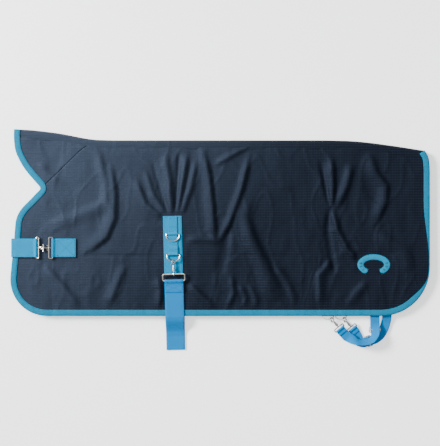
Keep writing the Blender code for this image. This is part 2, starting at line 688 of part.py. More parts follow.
# Leg straps

LEGS = {
    "near": {"tab": NEAR_TAB, "anchor": 142 * MM, "turn": 1, "tilt": math.radians(28),
             "level": None, "ramp": (78 * MM, 140 * MM), "slide": (0, -37), "heading": 0,
             "first": [(0, 30), (0, 8), (0, -20)],
             "last": [(0, -48), (-7, -61), (-22, -68), (-44, -68)]},
    "off": {"tab": OFF_TAB, "anchor": 110 * MM, "turn": -1, "tilt": math.radians(23.5),
            "level": 4.9 * MM, "ramp": (136 * MM, 164 * MM), "slide": (-46.5, -67), "heading": -72,
            "first": [(0, 30), (0, 8), (-1, -12), (-7, -34), (-18, -52), (-31, -62)],
            "last": [(-62, -72), (-76, -66)]},
}


def make_leg(side, parts, cutters, near_binding, off_binding):
    """One leg strap, its slide and snap, and the D that the snap is clipped to."""
    near = side == "near"
    leg = LEGS[side]
    up = leg["turn"]
    tab_x = TAIL_X - leg["tab"]
    bar_y = HEM_Y + LEG_D_INSET
    reach = D_WIRE + GAP + WEBBING / 2
    base = MID_Z + up * reach
    here = Matrix.Translation((tab_x, bar_y, MID_Z)) @ Matrix.Rotation(-math.pi / 2, 4, "Z")
    flip = here if near else here @ Matrix.Rotation(math.pi, 4, "X")
    second = reach - WEBBING - GAP
    path = [(-LEG_TAB, reach)] + [Vector((x, -z)) for x, z in loop_round(0, -reach, D_WIRE)]
    path += [(-LEG_TAB, second)]
    finish(band(side + "_leg_tab", path, NARROW, parts, flip), BLUE)
    for binding in (near_binding, off_binding):
        pocket = LEG_D_SPAN / 2 + D_WIRE + 2 * GAP
        low = (tab_x - pocket, HEM_Y - CUT, MID_Z - HALF_GAP / 2 - EDGE + GAP / 2)
        high = (tab_x + pocket, HEM_Y + BINDING_WIDTH + CUT, MID_Z + HALF_GAP / 2 + EDGE - GAP / 2)
        name = side + "_tab_pocket_" + binding.name
        boolean(binding, block(name, low, high, cutters))

    tilt = up * leg["tilt"]
    d_frame = Matrix.Translation((tab_x, bar_y, MID_Z)) @ Matrix.Rotation(-tilt, 4, "X")
    make_d_ring(side + "_leg_d_ring", d_frame, LEG_D_SPAN, LEG_D_REACH, parts)
    shoulder = 1.6 * D_CORNER
    bow = Vector((LEG_D_SPAN / 2 * math.sin(HELD_LEAN),
                  -shoulder - (LEG_D_REACH - shoulder) * math.cos(HELD_LEAN), 0))
    eye = Matrix.Translation(d_frame @ bow) @ Matrix.Rotation(SNAP_HEADING, 4, "Z") \
        @ Matrix.Translation((0, -HOOK_SEAT, 0))
    hook, gate, swivel = make_snap(side + "_leg_snap", eye, -up * HOOK_ROLL, True, parts, cutters)

    anchor = Vector((TAIL_X - leg["anchor"], HEM_Y + 26 * MM))
    bar = eye @ Vector((0, -SWIVEL_REACH - WIDE_SWIVEL_REACH / 2 + SWIVEL_RISE, 0))
    into = (eye.to_3x3() @ Vector((0, 1, 0))).normalized()
    sewn_z = MID_Z + up * (HALF_GAP / 2 - GAP - WEBBING / 2)
    loop_z = bar.z - bar_height(0, POST_RADIUS * 0.9)
    joined = bar - into * STRAIGHT
    first = [(anchor.x + x * MM, HEM_Y + y * MM) for x, y in leg["first"]]
    last = [(anchor.x + x * MM, HEM_Y + y * MM) for x, y in leg["last"]]
    route = smooth(first, 3) + smooth(last + [(joined.x, joined.y)], 3)
    lengths = [0.0]
    for start, end in zip(route, route[1:]):
        lengths.append(lengths[-1] + (end - start).length)
    path = []
    sides = []
    widths = []
    level = leg["level"] or sewn_z
    stops = [(HEM_EXIT, sewn_z), (HEM_EXIT + HEM_EASE, level), (leg["ramp"][0], level),
             (leg["ramp"][1], loop_z)]
    for index, point in enumerate(route):
        path.append(Vector((point.x, point.y, height_along(stops, lengths[index]))))
        along = (route[min(index + 1, len(route) - 1)] - route[max(index - 1, 0)]).normalized()
        sides.append(Vector((-along.y, along.x, 0)))
        widths.append(NARROW)
    across = Vector((-into.y, into.x, 0))
    for distance, height in loop_round(0, 0, POST_RADIUS * 0.9):
        path.append(bar + into * distance + Vector((0, 0, height - bar_height(0, POST_RADIUS * 0.9))))
        sides.append(across)
        widths.append(NARROW)
    path.append(path[-1] - into * 8 * MM)
    sides.append(across)
    widths.append(NARROW)
    strap = ribbon(side + "_leg_strap", path, sides, widths, WEBBING, parts)
    finish(strap, BLUE)

    slide = (anchor.x + leg["slide"][0] * MM, HEM_Y + leg["slide"][1] * MM)
    frame = Matrix.Translation((*slide, level)) @ Matrix.Rotation(math.radians(leg["heading"]), 4, "Z")
    beneath = -WEBBING / 2 - GAP - SLIDER_WIRE
    half = NARROW / 2 + GAP + SLIDER_WIRE
    loop = [(x, y, beneath) for x, y in rounded(2 * half, SLIDER_LENGTH, 2 * MM, 3)]
    slider = wire(side + "_leg_slider", loop, SLIDER_WIRE, parts, frame, closed=True)
    arch = wire(side + "_leg_slider_arch", [(-half, 0, beneath), (-half, 0, -beneath), (half, 0, -beneath),
                                            (half, 0, beneath)], SLIDER_WIRE * 0.96, cutters, frame)
    boolean(slider, arch, "UNION")
    finish(slider, STEEL, 0.3, 1.0)
    swing = hang(side + "_leg_strap_axis", (anchor.x, anchor.y, sewn_z), [strap])
    hang(side + "_leg_slider_axis", frame.translation, [slider], swing)
    turn_axis = hang(side + "_leg_snap_axis", eye.translation, [hook], swing)
    swivel.parent = swing
    swivel.matrix_parent_inverse = swing.matrix_world.inverted()
    hang(side + "_leg_gate_axis", gate_pivot(eye, -up * HOOK_ROLL), [gate], turn_axis)


def height_along(stops, distance):
    """A height that eases from stop to stop along a strap."""
    height = stops[0][1]
    for (start, low), (end, high) in zip(stops, stops[1:]):
        share = min(max((distance - start) / (end - start), 0), 1)
        if distance > start:
            height = low + (high - low) * share * share * (3 - 2 * share)
    return height


def make_emblem(parts):
    """A plain horseshoe, stitched on the near half above its rear corner."""
    length = EMBLEM_LENGTH / 2
    width = EMBLEM_WIDTH / 2
    angles = [math.radians(-62 + 304 * index / 24) for index in range(25)]
    outer = [(length * math.cos(a), width * math.sin(a)) for a in angles]
    inner = [((length - EMBLEM_BAND * 1.15) * math.cos(a), (width - EMBLEM_BAND) * math.sin(a))
             for a in reversed(angles)]
    frame = Matrix.Translation((TAIL_X - EMBLEM_SETBACK, HEM_Y + EMBLEM_RISE, 0))
    base = SHELL_TOP + GAP
    finish(plate("emblem", outer + inner, base, base + EMBLEM_THICKNESS, parts, frame), BLUE)


def spine_axis():
    """The line that just clears the topline: the fold's axis, from the collar to the croup."""
    points = topline()
    start = points[0] + Vector((0, MM))
    slope = max((point.y - start.y + 0.5 * MM) / (point.x - start.x) for point in points[1:])
    return start, Vector((1, slope)).normalized()


def hang_near_half(parts):
    """Everything sewn to the near half turns with it about the spine's fold."""
    fixed = ("off_", "spine_seam", "chest_strap_root", "belly_strap_root")
    start, along = spine_axis()
    middle = start + along * LENGTH / 2
    held = [item for item in parts.objects if not item.parent and not item.name.startswith(fixed)]
    held += [bpy.data.objects[name] for name in ("upper_d_ring_axis", "near_leg_strap_axis")]
    hang("spine_axis", (*middle, MID_Z), held)


def main():
    clear_scene()
    parts = new_collection("turnout_rug")
    cutters = new_collection("cutters")
    cutters.hide_render = True
    off_binding = make_half("off", parts, cutters)
    near_binding = make_half("near", parts, cutters)
    make_spine_seam(parts)
    make_chest(parts, cutters, off_binding)
    make_belly(parts, cutters, off_binding)
    for side in LEGS:
        make_leg(side, parts, cutters, near_binding, off_binding)
    make_emblem(parts)
    hang_near_half(parts)


main()
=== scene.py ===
import json
import math

import bmesh
import bpy
import numpy as np
from mathutils import Matrix, Vector, noise


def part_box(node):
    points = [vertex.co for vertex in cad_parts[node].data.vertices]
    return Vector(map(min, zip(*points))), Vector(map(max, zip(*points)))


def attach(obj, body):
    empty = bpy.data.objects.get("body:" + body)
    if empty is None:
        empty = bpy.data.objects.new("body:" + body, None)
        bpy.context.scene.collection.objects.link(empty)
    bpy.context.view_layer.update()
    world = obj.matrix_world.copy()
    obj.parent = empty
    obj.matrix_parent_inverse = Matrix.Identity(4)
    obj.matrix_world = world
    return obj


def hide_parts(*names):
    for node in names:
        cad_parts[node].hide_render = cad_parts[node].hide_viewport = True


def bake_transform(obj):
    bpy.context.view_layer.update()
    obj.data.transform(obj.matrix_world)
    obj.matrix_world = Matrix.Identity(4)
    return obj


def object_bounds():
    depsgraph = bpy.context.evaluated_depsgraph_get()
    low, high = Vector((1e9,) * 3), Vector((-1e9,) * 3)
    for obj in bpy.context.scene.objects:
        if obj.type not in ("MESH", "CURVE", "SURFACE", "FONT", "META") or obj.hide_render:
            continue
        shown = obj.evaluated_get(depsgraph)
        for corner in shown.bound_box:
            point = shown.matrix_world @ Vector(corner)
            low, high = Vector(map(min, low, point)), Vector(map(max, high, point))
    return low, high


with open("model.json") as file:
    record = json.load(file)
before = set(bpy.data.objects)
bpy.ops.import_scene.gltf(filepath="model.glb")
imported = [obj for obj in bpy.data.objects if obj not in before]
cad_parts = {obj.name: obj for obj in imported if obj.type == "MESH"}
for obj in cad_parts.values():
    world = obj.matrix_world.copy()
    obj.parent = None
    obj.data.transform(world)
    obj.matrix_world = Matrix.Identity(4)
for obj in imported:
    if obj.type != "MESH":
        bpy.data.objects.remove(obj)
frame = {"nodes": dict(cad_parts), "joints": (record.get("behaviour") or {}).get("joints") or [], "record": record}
cadLow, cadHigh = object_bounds()
mm = 0.001
far = 9.0  # beyond anything here, in metres
jointAt = {joint["name"]: Vector(joint["pos_m"]) for joint in frame["joints"] if "pos_m" in joint}


# Small tools

def addNode(tree, kind, inputs=None, **settings):
    node = tree.nodes.new(kind)
    for key, value in settings.items():
        setattr(node, key, value)
    for key, value in (inputs or {}).items():
        if hasattr(value, "is_output"):
            tree.links.new(value, node.inputs[key])
        else:
            node.inputs[key].default_value = value
    return node


def maths(tree, operation, first, second=0.0, clamp=False):
    node = addNode(tree, "ShaderNodeMath", {0: first, 1: second}, operation=operation, use_clamp=clamp)
    return node.outputs[0]


def times(tree, first, second, clamp=False):
    return maths(tree, "MULTIPLY", first, second, clamp)


def noiseAt(tree, place, scale, detail=2.0, **extras):
    node = addNode(tree, "ShaderNodeTexNoise", {"Vector": place, "Scale": scale, "Detail": detail, **extras})
    return node.outputs


def ridges(tree, place, pitch, share):
    # 1 along the middle of each line, 0 beyond its edges
    turned = maths(tree, "FRACT", maths(tree, "DIVIDE", place, pitch))
    away = maths(tree, "ABSOLUTE", maths(tree, "SUBTRACT", turned, 0.5))
    return maths(tree, "SUBTRACT", 1.0, maths(tree, "DIVIDE", away, share), clamp=True)


def newGroup(name, inputs, outputs):
    group = bpy.data.node_groups.new(name, "ShaderNodeTree")
    for label, value in inputs.items():
        group.interface.new_socket(label, in_out="INPUT", socket_type="NodeSocketFloat").default_value = value
    for label in outputs:
        group.interface.new_socket(label, in_out="OUTPUT", socket_type="NodeSocketFloat")
    return group, group.nodes.new("NodeGroupInput").outputs, group.nodes.new("NodeGroupOutput").inputs


def useGroup(tree, group, **values):
    node = tree.nodes.new("ShaderNodeGroup")
    node.node_tree = group
    for key, value in values.items():
        node.inputs[key].default_value = value
    return node.outputs


def mixColour(tree, share, first, second):
    node = tree.nodes.new("ShaderNodeMix")
    node.data_type = "RGBA"
    for socket, value in ((node.inputs[0], share), (node.inputs[6], first), (node.inputs[7], second)):
        if hasattr(value, "is_output"):
            tree.links.new(value, socket)
        else:
            socket.default_value = (*value, 1) if isinstance(value, tuple) else value
    return node.outputs[2]


def fainter(colour, share):
    return tuple(min(value * share, 1) for value in colour)


def newFinish(name, roughness=None, metallic=0.0, **extras):
    material = bpy.data.materials.new(name)
    material.use_nodes = True
    tree = material.node_tree
    shader = tree.nodes["Principled BSDF"]
    shader.inputs["Metallic"].default_value = metallic
    if roughness is not None:
        shader.inputs["Roughness"].default_value = roughness
    for key, value in extras.items():
        shader.inputs[key.replace("_", " ")].default_value = value
    return material, tree, shader


def bumpInto(tree, shader, height, distance, strength=1.0):
    bump = addNode(tree, "ShaderNodeBump", {"Height": height, "Distance": distance, "Strength": strength})
    tree.links.new(bump.outputs["Normal"], shader.inputs["Normal"])


# Effects that several finishes share
ripstopLook = {
    "wander": 5.0,
    "sway": (0.006, 0.006, 0),  # how far the lines stray from straight
    "down": 0.35,  # share of the height, for the threads that run down
    "fine": 0.35,
    "pull": (1.0, 0.45, 1.0),  # creases run longer down the cloth than across it
    "creases": (17.0, 2.0),  # scale and detail
    "creaseBend": {"Roughness": 0.4, "Distortion": 0.7},
    "creaseEdge": 9.0,
    "patches": (6.0, 1.0),
    "patchFrom": 0.46,
    "patchEdge": 6.0,
    "shade": (9.0, 4.0),
}
weaveLook = {"valley": 0.35, "shade": (38.0, 3.0)}
tarnishLook = {"detail": 5.0, "from": 0.42, "edge": 3.0}


def objectPlace(tree):
    return tree.nodes.new("ShaderNodeTexCoord").outputs["Object"]


def makeRipstop():
    # a grid of thicker threads, stronger across than down, with small creases in patches
    inputs = {"Pitch": 0.0068, "Line": 0.13, "Thread": 0.0009, "Crease": 1.3}
    group, given, result = newGroup("ripstop", inputs, ("Height", "Lines", "Shade"))
    look = ripstopLook
    spot = objectPlace(group)
    wander = noiseAt(group, spot, look["wander"], 1.0)["Color"]
    bent = addNode(group, "ShaderNodeVectorMath", {0: wander, 1: look["sway"]}, operation="MULTIPLY")
    moved = addNode(group, "ShaderNodeVectorMath", {0: spot, 1: bent.outputs[0]}, operation="ADD")
    parts = addNode(group, "ShaderNodeSeparateXYZ", {0: moved.outputs[0]}).outputs
    down = ridges(group, parts[0], given["Pitch"], given["Line"])
    across = ridges(group, parts[1], given["Pitch"], given["Line"])
    lines = maths(group, "MAXIMUM", times(group, down, look["down"]), across)
    fineDown = ridges(group, parts[0], given["Thread"], 0.5)
    fineAcross = ridges(group, parts[1], given["Thread"], 0.5)
    threads = times(group, fineDown, fineAcross)
    height = maths(group, "ADD", lines, times(group, threads, look["fine"]))

    pull = addNode(group, "ShaderNodeVectorMath", {0: spot, 1: look["pull"]}, operation="MULTIPLY")
    pulled = pull.outputs[0]
    rumple = noiseAt(group, pulled, *look["creases"], **look["creaseBend"])["Fac"]
    away = maths(group, "ABSOLUTE", maths(group, "SUBTRACT", rumple, 0.5))
    crease = maths(group, "SUBTRACT", 1.0, times(group, away, look["creaseEdge"]), True)
    patches = noiseAt(group, pulled, *look["patches"])["Fac"]
    patches = times(group, maths(group, "SUBTRACT", patches, look["patchFrom"]), look["patchEdge"], True)
    crease = times(group, times(group, crease, patches), given["Crease"])

    group.links.new(lines, result["Lines"])
    group.links.new(maths(group, "ADD", height, crease), result["Height"])
    shade = noiseAt(group, spot, *look["shade"], Roughness=0.6)["Fac"]
    group.links.new(shade, result["Shade"])
    return group


def makeWeave():
    # ribs across a webbing: the map's first number runs along it and the second across, in metres
    group, given, result = newGroup("webbingWeave", {"Rib": 0.0021, "Cord": 0.0014}, ("Height", "Shade"))
    place = addNode(group, "ShaderNodeUVMap", uv_map="weave").outputs[0]
    parts = addNode(group, "ShaderNodeSeparateXYZ", {0: place}).outputs
    cords = ridges(group, parts[1], given["Cord"], 0.5)
    row = maths(group, "FLOOR", maths(group, "DIVIDE", parts[1], given["Cord"]))
    shift = times(group, maths(group, "MODULO", row, 2.0), times(group, given["Rib"], 0.5))
    ribs = ridges(group, maths(group, "ADD", parts[0], shift), given["Rib"], 0.5)
    height = times(group, cords, maths(group, "ADD", weaveLook["valley"], ribs))
    group.links.new(height, result["Height"])
    group.links.new(noiseAt(group, objectPlace(group), *weaveLook["shade"])["Fac"], result["Shade"])
    return group


def makeTarnish():
    group, given, result = newGroup("tarnish", {"Scale": 90.0, "Grain": 1400.0}, ("Dull", "Grain"))
    spot = objectPlace(group)
    look = tarnishLook
    blot = noiseAt(group, spot, given["Scale"], look["detail"])["Fac"]
    dull = times(group, maths(group, "SUBTRACT", blot, look["from"]), look["edge"], True)
    group.links.new(dull, result["Dull"])
    group.links.new(noiseAt(group, spot, given["Grain"], 2.0)["Fac"], result["Grain"])
    return group


ripstop, weave, tarnish = makeRipstop(), makeWeave(), makeTarnish()


# Finishes
shellLook = {
    "gloss": 0.20,
    "sheen": (0.42, 0.58, 0.92, 1),
    "lean": 0.9,  # of the painted light's lines, in place along for each place down
    # painted light: where the cloth turns from its lit colour to its shaded colour
    "paintedLightFalloff": (-0.66, 0.14),
    "worn": 0.35,
    "wornDepth": 0.55,
    "lines": 0.50,
    "roughness": (0.47, 0.22),  # least, and how much the shade adds
    "bump": (0.0005, 0.8),
}
webbingLook = {
    "gloss": 0.04,
    "shadedFurrow": 0.62,
    # how dark the painted shade in the furrows is
    "patches": 0.22,
    "pale": 1.35,
    "roughness": (0.5, 0.2),
    "bump": (0.0004, 0.8),
}
metalLook = {"dulled": 0.16, "bump": (0.00005, 0.35)}
threadLook = {"roughness": 0.6, "fuzz": 0.1, "twist": 900.0, "depth": 0.6, "bump": 0.0001}


def roughen(tree, shader, least, more, share):
    tree.links.new(maths(tree, "ADD", least, times(tree, share, more)), shader.inputs["Roughness"])


def makeShellFinish(name, litSlate, shadedDeep, bright):
    look = shellLook
    material, tree, shader = newFinish(name, Specular_IOR_Level=look["gloss"], Specular_Tint=look["sheen"])
    out = useGroup(tree, ripstop)
    parts = addNode(tree, "ShaderNodeSeparateXYZ", {0: objectPlace(tree)}).outputs
    # painted light: paler towards the top of the neck, where it stands for lit cloth, deeper towards the lower
    # tail, where it stands for shaded cloth
    across = maths(tree, "SUBTRACT", parts[0], times(tree, parts[1], look["lean"]))
    ends = {0: across, 1: look["paintedLightFalloff"][0], 2: look["paintedLightFalloff"][1]}
    paintedLightFalloff = addNode(tree, "ShaderNodeMapRange", ends, interpolation_type="SMOOTHSTEP")
    cloth = mixColour(tree, paintedLightFalloff.outputs[0], litSlate, shadedDeep)
    worn = fainter(shadedDeep, look["wornDepth"])
    cloth = mixColour(tree, times(tree, out["Shade"], look["worn"]), cloth, worn)
    cloth = mixColour(tree, times(tree, out["Lines"], look["lines"]), cloth, bright)
    tree.links.new(cloth, shader.inputs["Base Color"])
    roughen(tree, shader, *look["roughness"], out["Shade"])
    bumpInto(tree, shader, out["Height"], *look["bump"])
    return material


def makeWebbingFinish(name, colour, rib=0.0021, cord=0.0014, furrowShade=0.35):
    look = webbingLook
    material, tree, shader = newFinish(name, Specular_IOR_Level=look["gloss"])
    out = useGroup(tree, weave, Rib=rib, Cord=cord)
    # painted shade: the webbing's colour darkens in the furrows between its ribs and cords
    shade = times(tree, maths(tree, "SUBTRACT", 1.0, out["Height"], True), furrowShade)
    cloth = mixColour(tree, shade, colour, fainter(colour, look["shadedFurrow"]))
    cloth = mixColour(tree, times(tree, out["Shade"], look["patches"]), cloth, fainter(colour, look["pale"]))
    tree.links.new(cloth, shader.inputs["Base Color"])
    roughen(tree, shader, *look["roughness"], out["Shade"])
    bumpInto(tree, shader, out["Height"], *look["bump"])
    return material


def makeMetalFinish(name, bright, dull, roughness):
    material, tree, shader = newFinish(name, metallic=1.0)
    out = useGroup(tree, tarnish)
    tree.links.new(mixColour(tree, out["Dull"], bright, dull), shader.inputs["Base Color"])
    roughen(tree, shader, roughness, metalLook["dulled"], out["Dull"])
    bumpInto(tree, shader, out["Grain"], *metalLook["bump"])
    return material


def makeThreadFinish(name, colour):
    look = threadLook
    material, tree, shader = newFinish(name, look["roughness"], Sheen_Weight=look["fuzz"])
    twist = noiseAt(tree, objectPlace(tree), look["twist"])["Fac"]
    tree.links.new(mixColour(tree, twist, colour, fainter(colour, look["depth"])), shader.inputs["Base Color"])
    bumpInto(tree, shader, twist, look["bump"])
    return material


# painted light: the slate colour is the cloth where lit, the deep colour the cloth in shade
shellFinish = makeShellFinish("navyRipstop", litSlate=(0.0235, 0.0315, 0.0480), shadedDeep=(0.0012, 0.0015, 0.0034),
                              bright=(0.022, 0.030, 0.047))
liningFinish = makeShellFinish("navyLining", litSlate=(0.006, 0.010, 0.022), shadedDeep=(0.005, 0.008, 0.018),
                               bright=(0.010, 0.016, 0.032))
tapeFinish = makeWebbingFinish("blueTape", (0.0, 0.145, 0.255), rib=0.0012)
patchFinish = makeWebbingFinish("blueWebbing", (0.0, 0.185, 0.360))
strapFinish = makeWebbingFinish("brightWebbing", (0.0, 0.160, 0.400), rib=0.0036, cord=0.0024, furrowShade=0.6)
nickelFinish = makeMetalFinish("agedNickel", (0.66, 0.62, 0.55), (0.42, 0.38, 0.32), 0.26)
shineFinish = makeMetalFinish("brightNickel", (0.30, 0.29, 0.275), (0.10, 0.095, 0.09), 0.13)
threadFinish = makeThreadFinish("blueThread", (0.0, 0.040, 0.095))
darkThreadFinish = makeThreadFinish("darkThread", (0.004, 0.006, 0.014))
emblemThreadFinish = makeThreadFinish("paleThread", (0.004, 0.205, 0.345))
# one cord across the whole band: painted shade darkens the satin band towards both its edges
emblemFinish = makeWebbingFinish("emblemThread", (0.0, 0.190, 0.330), rib=0.0011, cord=0.014, furrowShade=0.6)
print("finishes mixed")


# The cloth's own shape: folds drawn as lines across the near half, in millimetres
folds = {
    "rise": 13.0,  # the most that the cloth stands up
    "sink": 4.8,
    "gain": 1.85,
    "calm": 0.35,  # of the folds that reach the taped edge
    "lines": [  # points, height, width on each side
        ([(-143, 226), (-133, 153), (-127, 72)], 5.0, 10, 8),
        ([(-84, 229), (-96, 156), (-112, 74)], 5.0, 10, 5),
        ([(-107, 231), (-110, 150), (-117, 74)], -4.0, 4, 5),
        ([(-176, 206), (-158, 140), (-135, 74)], -3.0, 5, 5),
        ([(-220, 160), (-192, 91), (-150, 60)], 3.6, 11, 5),
        ([(-196, 186), (-174, 118), (-143, 70)], 3.0, 9, 6),
        ([(-44, 240), (-28, 165), (-20, 92), (-14, 12)], 5.2, 15, 5),
        ([(-60, 214), (-75, 140), (-100, 66)], 3.2, 9, 6),
        ([(92, 254), (40, 226), (-8, 198)], 3.0, 8, 6),
        ([(78, 226), (56, 135), (30, 62), (8, 8)], 5.0, 9, 6),
        ([(84, 120), (65, 65), (80, 8), (117, -62), (150, -135)], 5.0, 20, 12),
        ([(22, 40), (14, -30), (2, -80)], -3.6, 12, 9),
        ([(262, 209), (276, 135), (287, 86)], -3.4, 6, 6),
        ([(291, 214), (294, 140), (290, 92)], 5.0, 11, 5),
        ([(285, 84), (281, 26), (289, -31), (298, -78)], -4.6, 7, 6),
        ([(292, 81), (304, 26), (332, -28), (356, -50)], 5.0, 7, 8),
        ([(343, 200), (330, 143), (308, 92)], 4.4, 12, 8),
        ([(385, 229), (408, 172), (432, 140), (430, 104), (408, 50)], 4.6, 18, 7),
        ([(257, -172), (257, -91), (288, -52)], 4.0, 14, 5),
        ([(143, -170), (117, -91), (88, -13), (68, 40)], 3.4, 12, 16),
        ([(197, -172), (179, -122), (146, -70)], 3.4, 12, 6),
        ([(-286, 205), (-274, 122), (-276, 57), (-296, 8), (-338, -26)], 5.2, 20, 6),
        ([(-318, 240), (-297, 146), (-296, 92)], 2.8, 12, 7),
        ([(-458, 34), (-380, 60), (-300, 92)], 2.8, 18, 12),
        ([(-462, -62), (-406, -125), (-364, -179)], 3.6, 16, 9),
        ([(-246, -64), (-265, -109), (-288, -168)], 3.4, 15, 8),
        ([(-165, -96), (-150, -128), (-160, -176)], 3.4, 12, 7),
        ([(-84, -110), (-52, -143), (-14, -178)], 3.6, 12, 8),
        ([(-90, 0), (-50, 4), (0, -2)], 2.6, 10, 9),
        ([(-470, 206), (-452, 170), (-420, 150)], 2.4, 14, 10),
        ([(-372, -40), (-260, -41), (-150, -42)], -0.9, 3, 3),
        ([(-86, -42), (60, -40), (220, -42)], -0.7, 3, 3),
        ([(400, 20), (470, -20), (500, -80)], 2.4, 20, 14),
        ([(20, -176), (34, -140), (30, -100)], 3.0, 8, 6),
        ([(60, -178), (66, -150), (52, -120)], 2.6, 8, 5),
        ([(95, -178), (92, -150), (76, -118)], 2.4, 8, 5),
        ([(330, -176), (350, -140), (380, -110)], 2.4, 14, 8),
    ],
    "still": ["belly_patch", "near_chest_patch", "chest_catch", "chest_hook", "chest_strap", "belly_strap",
              "emblem"],
    "margin": 13,
    "crumples": [  # scale, seed, stretch, height
        (16, 3.1, (1.0, 0.45), 2.4),
        (34, 7.7, (1.0, 0.6), 1.1),
        (90, 5.2, (1, 1), 0.35),
    ],
    "crisp": (22, 11.3, (1.1, 0.5), 1.3),
    "crispness": 5,
    "hem": (70, 9.1, (1, 0.22), 2.2),
    "hemReach": (62, 16),  # where the hem's puckers begin, and where they are whole
    "edgeReach": (10, 55),
    "topReach": 30,
}


def smoothstep(low, high, value):
    share = np.clip((value - low) / (high - low), 0, 1)
    return share * share * (3 - 2 * share)


def ridgeOf(points, line, height, left, right):
    # how much one fold lifts the cloth at each point, with its own width on each side of its line
    corners = np.array(line) * mm
    best = np.full(len(points), far)
    side = np.zeros(len(points))
    along = np.zeros(len(points))
    whole = np.linalg.norm(np.diff(corners, axis=0), axis=1).sum()
    gone = 0.0
    for start, end in zip(corners, corners[1:]):
        step = end - start
        length = np.linalg.norm(step)
        share = np.clip((points - start) @ step / length ** 2, 0, 1)
        away = points - start - share[:, None] * step
        distance = np.linalg.norm(away, axis=1)
        nearer = distance < best
        best[nearer] = distance[nearer]
        side[nearer] = (step[0] * away[:, 1] - step[1] * away[:, 0])[nearer]
        along[nearer] = (gone + share * length)[nearer] / whole
        gone += length
    width = np.where(side < 0, left, right) * mm
    taper = smoothstep(0, 0.3, along + 0.04) * smoothstep(0, 0.25, 1.10 - along)  # fades at its two ends
    return height * mm * taper * np.exp(-(best / width) ** 2)


def outlineOf(node):
    # the edge of a node's upper face, as points in order
    shape = bmesh.new()
    shape.from_mesh(frame["nodes"][node].data)
    bmesh.ops.remove_doubles(shape, verts=shape.verts, dist=0.02 * mm)
    top = max(v.co.z for v in shape.verts)
    upper = {f for f in shape.faces if f.normal.z > 0.9 and f.calc_center_median().z > top - 0.1 * mm}
    edges = [e for e in shape.edges if sum(f in upper for f in e.link_faces) == 1]
    nextTo = {}
    for edge in edges:
        for a, b in (edge.verts, reversed(edge.verts)):
            nextTo.setdefault(a, []).append(b)
    path = [edges[0].verts[0]]
    last = None
    while True:
        following = [v for v in nextTo[path[-1]] if v is not last]
        last = path[-1]
        if following[0] is path[0] or len(path) > len(nextTo):
            break
        path.append(following[0])
    points = np.array([v.co.to_2d() for v in path])
    shape.free()
    area = 0.5 * np.sum(points[:, 0] * np.roll(points[:, 1], -1) - points[:, 1] * np.roll(points[:, 0], -1))
    return points if area > 0 else points[::-1]


def evenly(points, pitch):
    # the same line, with its points a set distance apart
    points = np.array(points, float)
    lengths = np.concatenate([[0], np.cumsum(np.linalg.norm(np.diff(points, axis=0), axis=1))])
    places = np.linspace(0, lengths[-1], max(int(round(lengths[-1] / pitch)), 2) + 1)
    return np.stack([np.interp(places, lengths, points[:, k]) for k in range(points.shape[1])], axis=1)


cutEdge = outlineOf("near_fill")
frontCorner = int(np.argmax(cutEdge[:, 1] - cutEdge[:, 0]))
tailCorner = int(np.argmax(cutEdge[:, 0] + cutEdge[:, 1]))
rolled = np.roll(cutEdge, -frontCorner, axis=0)
split = (tailCorner - frontCorner) % len(cutEdge)
boundEdge = rolled[:split + 1]  # from the collar down the front and along the hem to the tail
topEdge = np.vstack([rolled[split:], rolled[:1]])[::-1]  # the fold, from the collar to the tail
boundLine = evenly(boundEdge, 6 * mm)
hemY = cutEdge[:, 1].min()


def topAt(x):
    return np.interp(x, topEdge[:, 0], topEdge[:, 1])


def distanceTo(points, line):
    best = np.full(len(points), far)
    batch = 40  # keeps the tables small
    for start in range(0, len(line), batch):
        part = line[start:start + batch]
        best = np.minimum(best, np.linalg.norm(points[:, None] - part[None], axis=2).min(axis=1))
    return best


def crumple(points, scale, seed, stretch):
    wide, tall = scale * stretch[0], scale * stretch[1]
    return np.array([noise.noise(Vector((x * wide, y * tall, seed))) for x, y in points])


def drape(points):
    # how far the near half stands above or below its flat shape
    lift = sum(ridgeOf(points, *line) for line in folds["lines"]) * folds["gain"]
    for *kind, height in folds["crumples"]:
        lift = lift + crumple(points, *kind) * height * mm
    *kind, height = folds["crisp"]
    sharp = np.clip(1 - np.abs(crumple(points, *kind)) * folds["crispness"], 0, 1) ** 2
    lift = lift + sharp * height * mm
    *kind, height = folds["hem"]
    start, end = folds["hemReach"]
    hem = smoothstep(start * mm, end * mm, points[:, 1] - hemY)
    lift = lift + hem * crumple(points, *kind) * height * mm
    start, end = folds["edgeReach"]
    inside = smoothstep(start * mm, end * mm, distanceTo(points, boundLine))
    lift *= folds["calm"] + (1 - folds["calm"]) * inside
    lift *= smoothstep(0, folds["topReach"] * mm, topAt(points[:, 0]) - points[:, 1])
    rise, sink = folds["rise"] * mm, folds["sink"] * mm
    lift = np.where(lift > 0, rise * np.tanh(lift / rise), sink * np.tanh(lift / sink))
    for node in folds["still"]:
        low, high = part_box(node)
        dx = np.maximum(np.maximum(low.x - points[:, 0], points[:, 0] - high.x), 0)
        dy = np.maximum(np.maximum(low.y - points[:, 1], points[:, 1] - high.y), 0)
        lift *= smoothstep(0, folds["margin"] * mm, np.hypot(dx, dy))
    return lift


def coordinates(mesh):
    co = np.zeros(len(mesh.vertices) * 3)
    mesh.vertices.foreach_get("co", co)
    return co.reshape(-1, 3)


def setCoordinates(mesh, co):
    mesh.vertices.foreach_set("co", co.astype(np.float32).ravel())
    mesh.update()


def newPiece(name, mesh, finish):
    piece = bpy.data.objects.new(name, mesh)
    bpy.context.scene.collection.objects.link(piece)
    mesh.materials.clear()
    mesh.materials.append(finish)
    mesh.shade_smooth()
    return piece


def applied(piece):
    # the piece with its modifiers made real
    bpy.context.view_layer.update()
    mesh = bpy.data.meshes.new_from_object(piece.evaluated_get(bpy.context.evaluated_depsgraph_get()))
    piece.modifiers.clear()
    old = piece.data
    piece.data = mesh
    bpy.data.meshes.remove(old)
    mesh.name = piece.name
    return piece


